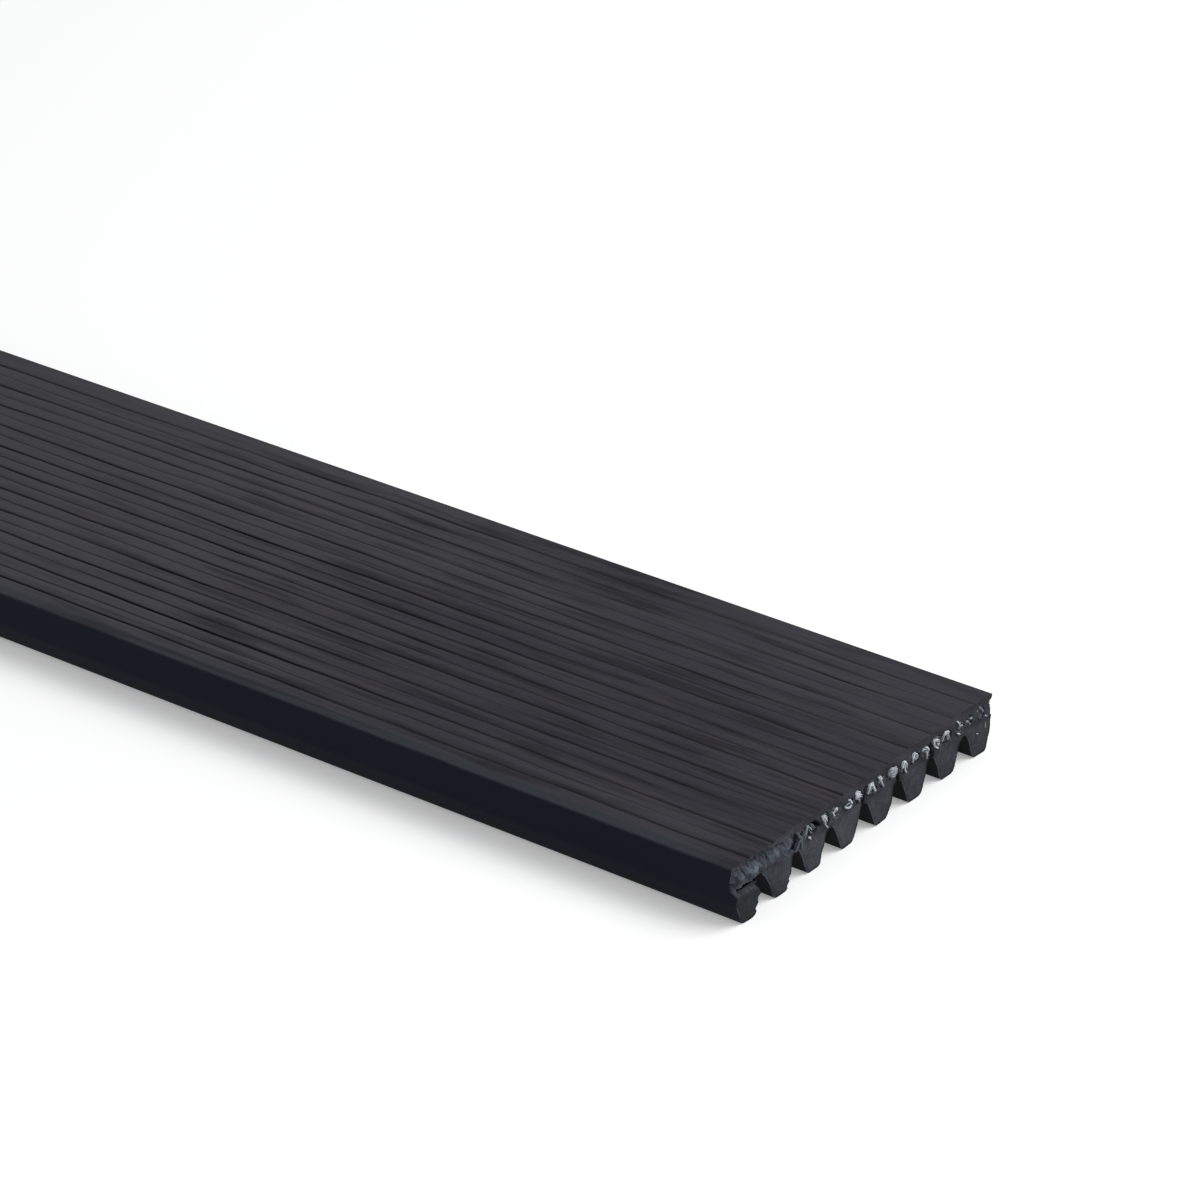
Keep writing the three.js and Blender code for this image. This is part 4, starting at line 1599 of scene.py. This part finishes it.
@dataclass
class TensileCords:
    """The cords: twisted yarn through the whole belt, frayed by filaments where the knife went through."""

    lobes: int = 7
    sides: int = 28
    stations: int = 110
    lay: float = 9.0
    lobe_depth: float = 0.045
    dish_depth: float = 0.22
    dish_share: float = 0.5
    end_chamfer: float = 0.09
    filament_radius: float = 0.026
    filament_steps: int = 11
    filament_sides: int = 5
    crinkle: float = 0.035
    rim_locks: int = 9
    bristle_ring: float = 0.84
    bristle_root: float = 0.35
    bristle_bend: float = 0.05
    bristle_rise: float = 0.14
    fray_length: float = 0.16
    # The stretch before the end over which the yarn darkens, partly painted shade.
    sooty_length: float = 0.5
    fray_seed: int = 40
    bristle_seed: int = 500
    tree: ShapeTree | None = None

    def fray_tree(self) -> ShapeTree:
        """Builds the tree that turns each guide line into a lock of crinkled filaments.

        Returns:
            The tree, with inputs for the filaments' size, steps, crinkle and seed.
        """
        shape = ShapeTree("frayed yarn")
        nodes = shape.nodes
        radius = shape.input("Filament Radius")
        steps = shape.input("Steps", "NodeSocketInt")
        sides = shape.input("Sides", "NodeSocketInt")
        crinkle = shape.input("Crinkle")
        seed = shape.input("Seed", "NodeSocketInt")
        material = shape.input("Material", "NodeSocketMaterial")
        guides = nodes.out("GeometryNodeMeshToCurve", None, {0: shape.geometry()})
        smooth = nodes.out("GeometryNodeCurveSplineType", {"spline_type": "CATMULL_ROM"}, {0: guides})
        count = nodes.out("GeometryNodeInputNamedAttribute", {"data_type": "INT"}, {"Name": "filaments"})
        copies = nodes.out("GeometryNodeDuplicateElements", {"domain": "SPLINE"}, {
            "Geometry": smooth, "Amount": count})
        index = nodes.out("GeometryNodeInputIndex")
        one_each = nodes.out("FunctionNodeRandomValue", {"data_type": "FLOAT_VECTOR"}, {
            0: (-1.0, -1.0, -1.0), 1: (1.0, 1.0, 1.0), "ID": index, "Seed": seed})
        held = nodes.add("GeometryNodeCaptureAttribute", {"domain": "CURVE", "captures": [("VECTOR", "own")]},
                         {0: copies, 1: one_each})
        own = Wire(nodes, held.outputs[1])
        strands = nodes.out("GeometryNodeResampleCurve", {"mode": "COUNT"}, {
            "Curve": held.outputs[0], "Count": steps})
        factor = nodes.out("GeometryNodeSplineParameter", None, None, "Factor")
        spread = nodes.out("GeometryNodeInputNamedAttribute", {"data_type": "FLOAT"}, {"Name": "spread"})
        place = nodes.vector("SCALE", nodes.out("GeometryNodeInputPosition"), scale=1 / MM)
        wriggle_at = nodes.vector("ADD", place, nodes.vector("SCALE", own, scale=40.0))
        wriggle = nodes.out("ShaderNodeTexNoise", None, {
            "Vector": wriggle_at, "Scale": 2.6, "Detail": 2.0}, "Color")
        wriggle = nodes.vector("SUBTRACT", wriggle, (0.5, 0.5, 0.5))
        offset = nodes.vector("ADD", nodes.vector("SCALE", own, scale=spread * (0.55 + 0.6 * factor)),
                              nodes.vector("SCALE", wriggle, scale=crinkle * 3.0 * (0.4 + factor)))
        moved = nodes.out("GeometryNodeSetPosition", None, {"Geometry": strands, "Offset": offset})
        circle = nodes.out("GeometryNodeCurvePrimitiveCircle", {"mode": "RADIUS"}, {
            "Resolution": sides, "Radius": radius})
        own_thickness, own_tone, _ = nodes.axes(own)
        thick = (1.0 + 0.35 * own_thickness) * (1.0 - 0.45 * factor)
        tubes = nodes.out("GeometryNodeCurveToMesh", None, {
            "Curve": moved, "Profile Curve": circle, "Scale": thick, "Fill Caps": True})
        smooth_tubes = nodes.out("GeometryNodeSetShadeSmooth", None, {"Geometry": tubes})
        tone = nodes.out("GeometryNodeInputNamedAttribute", {"data_type": "FLOAT"}, {"Name": "tone"})
        toned = nodes.out("GeometryNodeStoreNamedAttribute", {"data_type": "FLOAT", "domain": "POINT"}, {
            "Geometry": smooth_tubes, "Name": "tone", "Value": tone + 0.22 * own_tone})
        shape.end_with(toned, material)
        return shape

    def guide_lines(self, cord: int) -> list[Lock]:
        """The locks of one cord, placed on the cut: those of its fray and a rim of short bristles.

        Args:
            cord: The cord's number from 0.

        Returns:
            Locks whose paths are places in the belt's frame.
        """
        end = CORD_ENDS[cord]
        if end.shape is FrayShape.COVERED:
            return []
        y0, z0 = SIZES.cord_centre(cord), SIZES.cord_height
        cos, sin = math.cos(end.turn) * end.size, math.sin(end.turn) * end.size
        placed = []
        for each in LOCKS[end.shape]:
            path = []
            for a, b, out in each.path:
                y, z = y0 + a * cos - b * sin, z0 + a * sin + b * cos
                x = float(CUT.along(y, z, fine=False)) + out
                path.append((min(x, SIZES.cut_end - 0.12), y, z))
            placed.append(Lock(tuple(path), each.filaments, each.spread, each.tone * end.bright))
        stop = cord_end(cord) - self.fray_length
        rng = np.random.default_rng(self.bristle_seed + cord)
        for spoke in range(self.rim_locks):
            angle = 2 * math.pi * (spoke + rng.uniform(-0.3, 0.3)) / self.rim_locks
            lean = rng.uniform(0.94, 1.08)
            rise = rng.uniform(0.0, self.bristle_rise)
            tip = min(stop + rise, SIZES.cut_end - 0.05)
            path = []
            for step, x in enumerate((stop - self.bristle_root, stop - self.bristle_bend, tip)):
                reach = SIZES.cord_radius * self.bristle_ring * lean ** step
                path.append((x, y0 + reach * math.cos(angle), z0 + reach * math.sin(angle)))
            placed.append(Lock(tuple(path), 2, 0.03, rng.uniform(-0.1, 0.35) * end.bright))
        return placed

    def fray(self, cord: int, material: bpy.types.Material) -> bpy.types.Mesh | None:
        """Grows one cord's filaments, or gives None where smeared rubber hides its end.

        Args:
            cord: The cord's number from 0.
            material: The yarn.

        Returns:
            The filaments' mesh, or None.
        """
        locks = self.guide_lines(cord)
        if not locks:
            return None
        guides = MeshMaker()
        for each in locks:
            guides.add_line(np.array(each.path), spread=each.spread * MM, tone=each.tone,
                            filaments=each.filaments)
        if self.tree is None:
            self.tree = self.fray_tree()
        return self.tree.grow(guides.make(f"guides_{cord + 1:02d}"), {
            "Filament Radius": self.filament_radius * MM, "Steps": self.filament_steps,
            "Sides": self.filament_sides, "Crinkle": self.crinkle * MM, "Seed": self.fray_seed + cord,
            "Material": material,
        })

    def yarn(self, cord: int) -> MeshMaker:
        """The twisted cord itself, flush at the plain end and dished at the cut.

        Args:
            cord: The cord's number from 0.

        Returns:
            The cord's points and faces, with their tone and their darkening by rubber and painted shade.
        """
        y0, z0 = SIZES.cord_centre(cord), SIZES.cord_height
        end = cord_end(cord)
        if CORD_ENDS[cord].shape is not FrayShape.COVERED:
            end -= self.fray_length
        twist = (1 if cord % 2 else -1) * 2 * math.pi / self.lay
        angles = np.linspace(0, 2 * math.pi, self.sides, endpoint=False)
        inner = SIZES.cord_radius * self.dish_share
        rings, soot, tone = [], [], []
        along = [*np.linspace(SIZES.plain_end, end - self.sooty_length, self.stations),
                 end - self.sooty_length / 2, end - self.end_chamfer]
        # The yarn darkens over its last stretch and most in its dished end: partly rubber, partly painted
        # shade.
        stations = [(x, SIZES.cord_radius, 0.75 * max(0.0, 1 - (end - x) / self.sooty_length)) for x in along]
        dish = end - self.dish_depth
        stations += [(end, SIZES.cord_radius - self.end_chamfer, 0.8), (end - 0.03, inner, 0.92),
                     (end - self.dish_depth * 0.6, inner * 0.5, 1.0), (dish, inner * 0.12, 1.0)]
        for x, radius, dark in stations:
            # Between the plies the yarn is painted greyer and darker: painted shade in the crevices.
            lobe = np.abs(np.cos(self.lobes * (angles - twist * x) / 2)) ** 0.6
            reach = radius * (1 - self.lobe_depth * 2 * (1 - lobe))
            rings.append(ring(x, y0 + reach * np.cos(angles), z0 + reach * np.sin(angles)))
            soot.append(np.clip(dark + 0.45 * (1 - lobe), 0, 1))
            tone.append(0.35 + 0.45 * lobe)
        body = MeshMaker()
        body.add_rings(rings, soot=np.concatenate(soot), tone=np.concatenate(tone))
        return body

    def build(self, material: bpy.types.Material) -> None:
        """Builds every cord, from the near side.

        Args:
            material: The yarn.
        """
        for cord in range(SIZES.cord_count):
            number = f"{cord + 1:02d}"
            piece = self.yarn(cord).make(f"twisted_cord_{number}")
            piece.data.polygons.foreach_set("use_smooth", np.ones(len(piece.data.polygons), bool))
            piece.data.set_sharp_from_angle(angle=math.radians(50))
            piece.data.materials.append(material)
            hair = self.fray(cord, material)
            if hair is not None:
                tuft = put_in_scene(f"fray_{number}", hair)
                store(hair, "soot", np.zeros(len(hair.vertices)))
                with bpy.context.temp_override(active_object=piece, object=piece,
                                               selected_objects=[piece, tuft],
                                               selected_editable_objects=[piece, tuft]):
                    bpy.ops.object.join()
            settle(piece, [f"tensile_cord_{number}"])


@dataclass
class Studio:
    """A pale floor, soft lamps and the camera at the photograph's angle."""

    azimuth: float = math.radians(35.386)
    elevation: float = math.radians(29.682)
    distance: float = 292.034
    aim: tuple[float, float, float] = (35.735, -10.219, 17.450)
    lens: float = 142.526
    floor_size: float = 8000.0
    floor_drop: float = 0.01
    world_strength: float = 0.34
    world_colour: Colour = (0.97, 0.98, 1.0, 1.0)
    floor_lit: Colour = (0.3, 0.3, 0.3, 1.0)
    floor_seen: Colour = (0.9, 0.9, 0.9, 1.0)
    floor_glow: float = 0.27
    key_power: float = 2.7
    fill_power: float = 0.55

    def stand(self, name: str, data: bpy.types.ID, place: Vector, aim: Vector) -> bpy.types.Object:
        """Puts a camera or lamp at a place in millimetres, looking at another.

        Args:
            name: The object's name.
            data: The camera or lamp.
            place: Where it stands.
            aim: What it looks at.

        Returns:
            The object.
        """
        made = put_in_scene(name, data)
        made.location = place * MM
        made.rotation_mode = "QUATERNION"
        made.rotation_quaternion = (aim - place).to_track_quat("-Z", "Y")
        return made

    def camera(self) -> None:
        """Makes the camera."""
        back = Vector((math.sin(self.azimuth) * math.cos(self.elevation),
                       -math.cos(self.azimuth) * math.cos(self.elevation), math.sin(self.elevation)))
        data = bpy.data.cameras.new("camera")
        data.sensor_width = 36.0
        data.sensor_fit = "HORIZONTAL"
        data.lens = self.lens
        data.clip_start = 0.01
        data.clip_end = 50.0
        aim = Vector(self.aim)
        bpy.context.scene.camera = self.stand("camera", data, aim + back * self.distance, aim)

    def lamp(self, name: str, place: tuple[float, float, float], size: float, power: float) -> None:
        """Makes a soft square lamp that looks at the belt.

        Args:
            name: The lamp's name.
            place: Where it stands, in millimetres.
            size: Its side, in millimetres.
            power: Its power in watts.
        """
        data = bpy.data.lights.new(name, "AREA")
        data.shape = "SQUARE"
        data.size = size * MM
        data.energy = power
        self.stand(name, data, Vector(place), Vector())

    def seen_directly(self, nodes: Nodes) -> Wire:
        """1 for rays from the camera or by way of gloss or glass, 0 for rays that light the belt.

        Args:
            nodes: The material's nodes.

        Returns:
            The mask as a wire.
        """
        path = nodes.add("ShaderNodeLightPath")
        camera, glossy, through = (Wire(nodes, path.outputs[f"Is {kind} Ray"])
                                   for kind in ("Camera", "Glossy", "Transmission"))
        return nodes.math("MAXIMUM", camera, nodes.math("MAXIMUM", glossy, through))

    def floor(self) -> None:
        """Makes the floor, which looks nearly white and throws little light back up."""
        half, low = self.floor_size / 2, -self.floor_drop
        maker = MeshMaker()
        corners = ((-half, -half, low), (half, -half, low), (half, half, low), (-half, half, low))
        maker.add_points(np.array(corners))
        maker.faces.append((0, 1, 2, 3))
        floor = maker.make("floor")
        material, nodes = new_material("pale floor")
        seen = self.seen_directly(nodes)
        colour = nodes.mix(seen, self.floor_lit, self.floor_seen)
        diffuse = nodes.add("ShaderNodeBsdfDiffuse", None, {"Color": colour})
        glow = {"Color": (1.0, 1.0, 1.0, 1.0), "Strength": seen * self.floor_glow}
        lift = nodes.add("ShaderNodeEmission", None, glow)
        both = nodes.add("ShaderNodeAddShader", None, {0: diffuse, 1: lift})
        nodes.add("ShaderNodeOutputMaterial", None, {"Surface": both})
        floor.data.materials.append(material)

    def world(self) -> None:
        """Makes the world: plain soft light that looks white where it is seen."""
        world = bpy.data.worlds.new("studio")
        bpy.context.scene.world = world
        world.use_nodes = True
        nodes = Nodes(world.node_tree)
        path = nodes.add("ShaderNodeLightPath")
        seen = Wire(nodes, path.outputs["Is Camera Ray"])
        strength = self.world_strength + seen * (1.0 - self.world_strength)
        shade = nodes.add("ShaderNodeBackground", None, {"Color": self.world_colour, "Strength": strength})
        nodes.add("ShaderNodeOutputWorld", None, {"Surface": shade})

    def build(self) -> None:
        """Builds the whole studio."""
        self.camera()
        self.floor()
        self.lamp("key lamp", (330.0, 260.0, 520.0), 420.0, self.key_power)
        self.lamp("fill lamp", (460.0, 20.0, 200.0), 300.0, self.fill_power)
        self.world()
        bpy.context.scene.view_settings.view_transform = "Standard"


def main() -> None:
    """Builds the studio and the belt's pieces in order."""
    logging.basicConfig(level=logging.INFO, format="%(name)s %(message)s")
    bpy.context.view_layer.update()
    Studio().build()
    rubber = RubberFinish().build()
    yarn = YarnFinish().build()
    RubberBody().build(rubber)
    TensileCords().build(yarn)


if __name__ == "__main__":
    main()
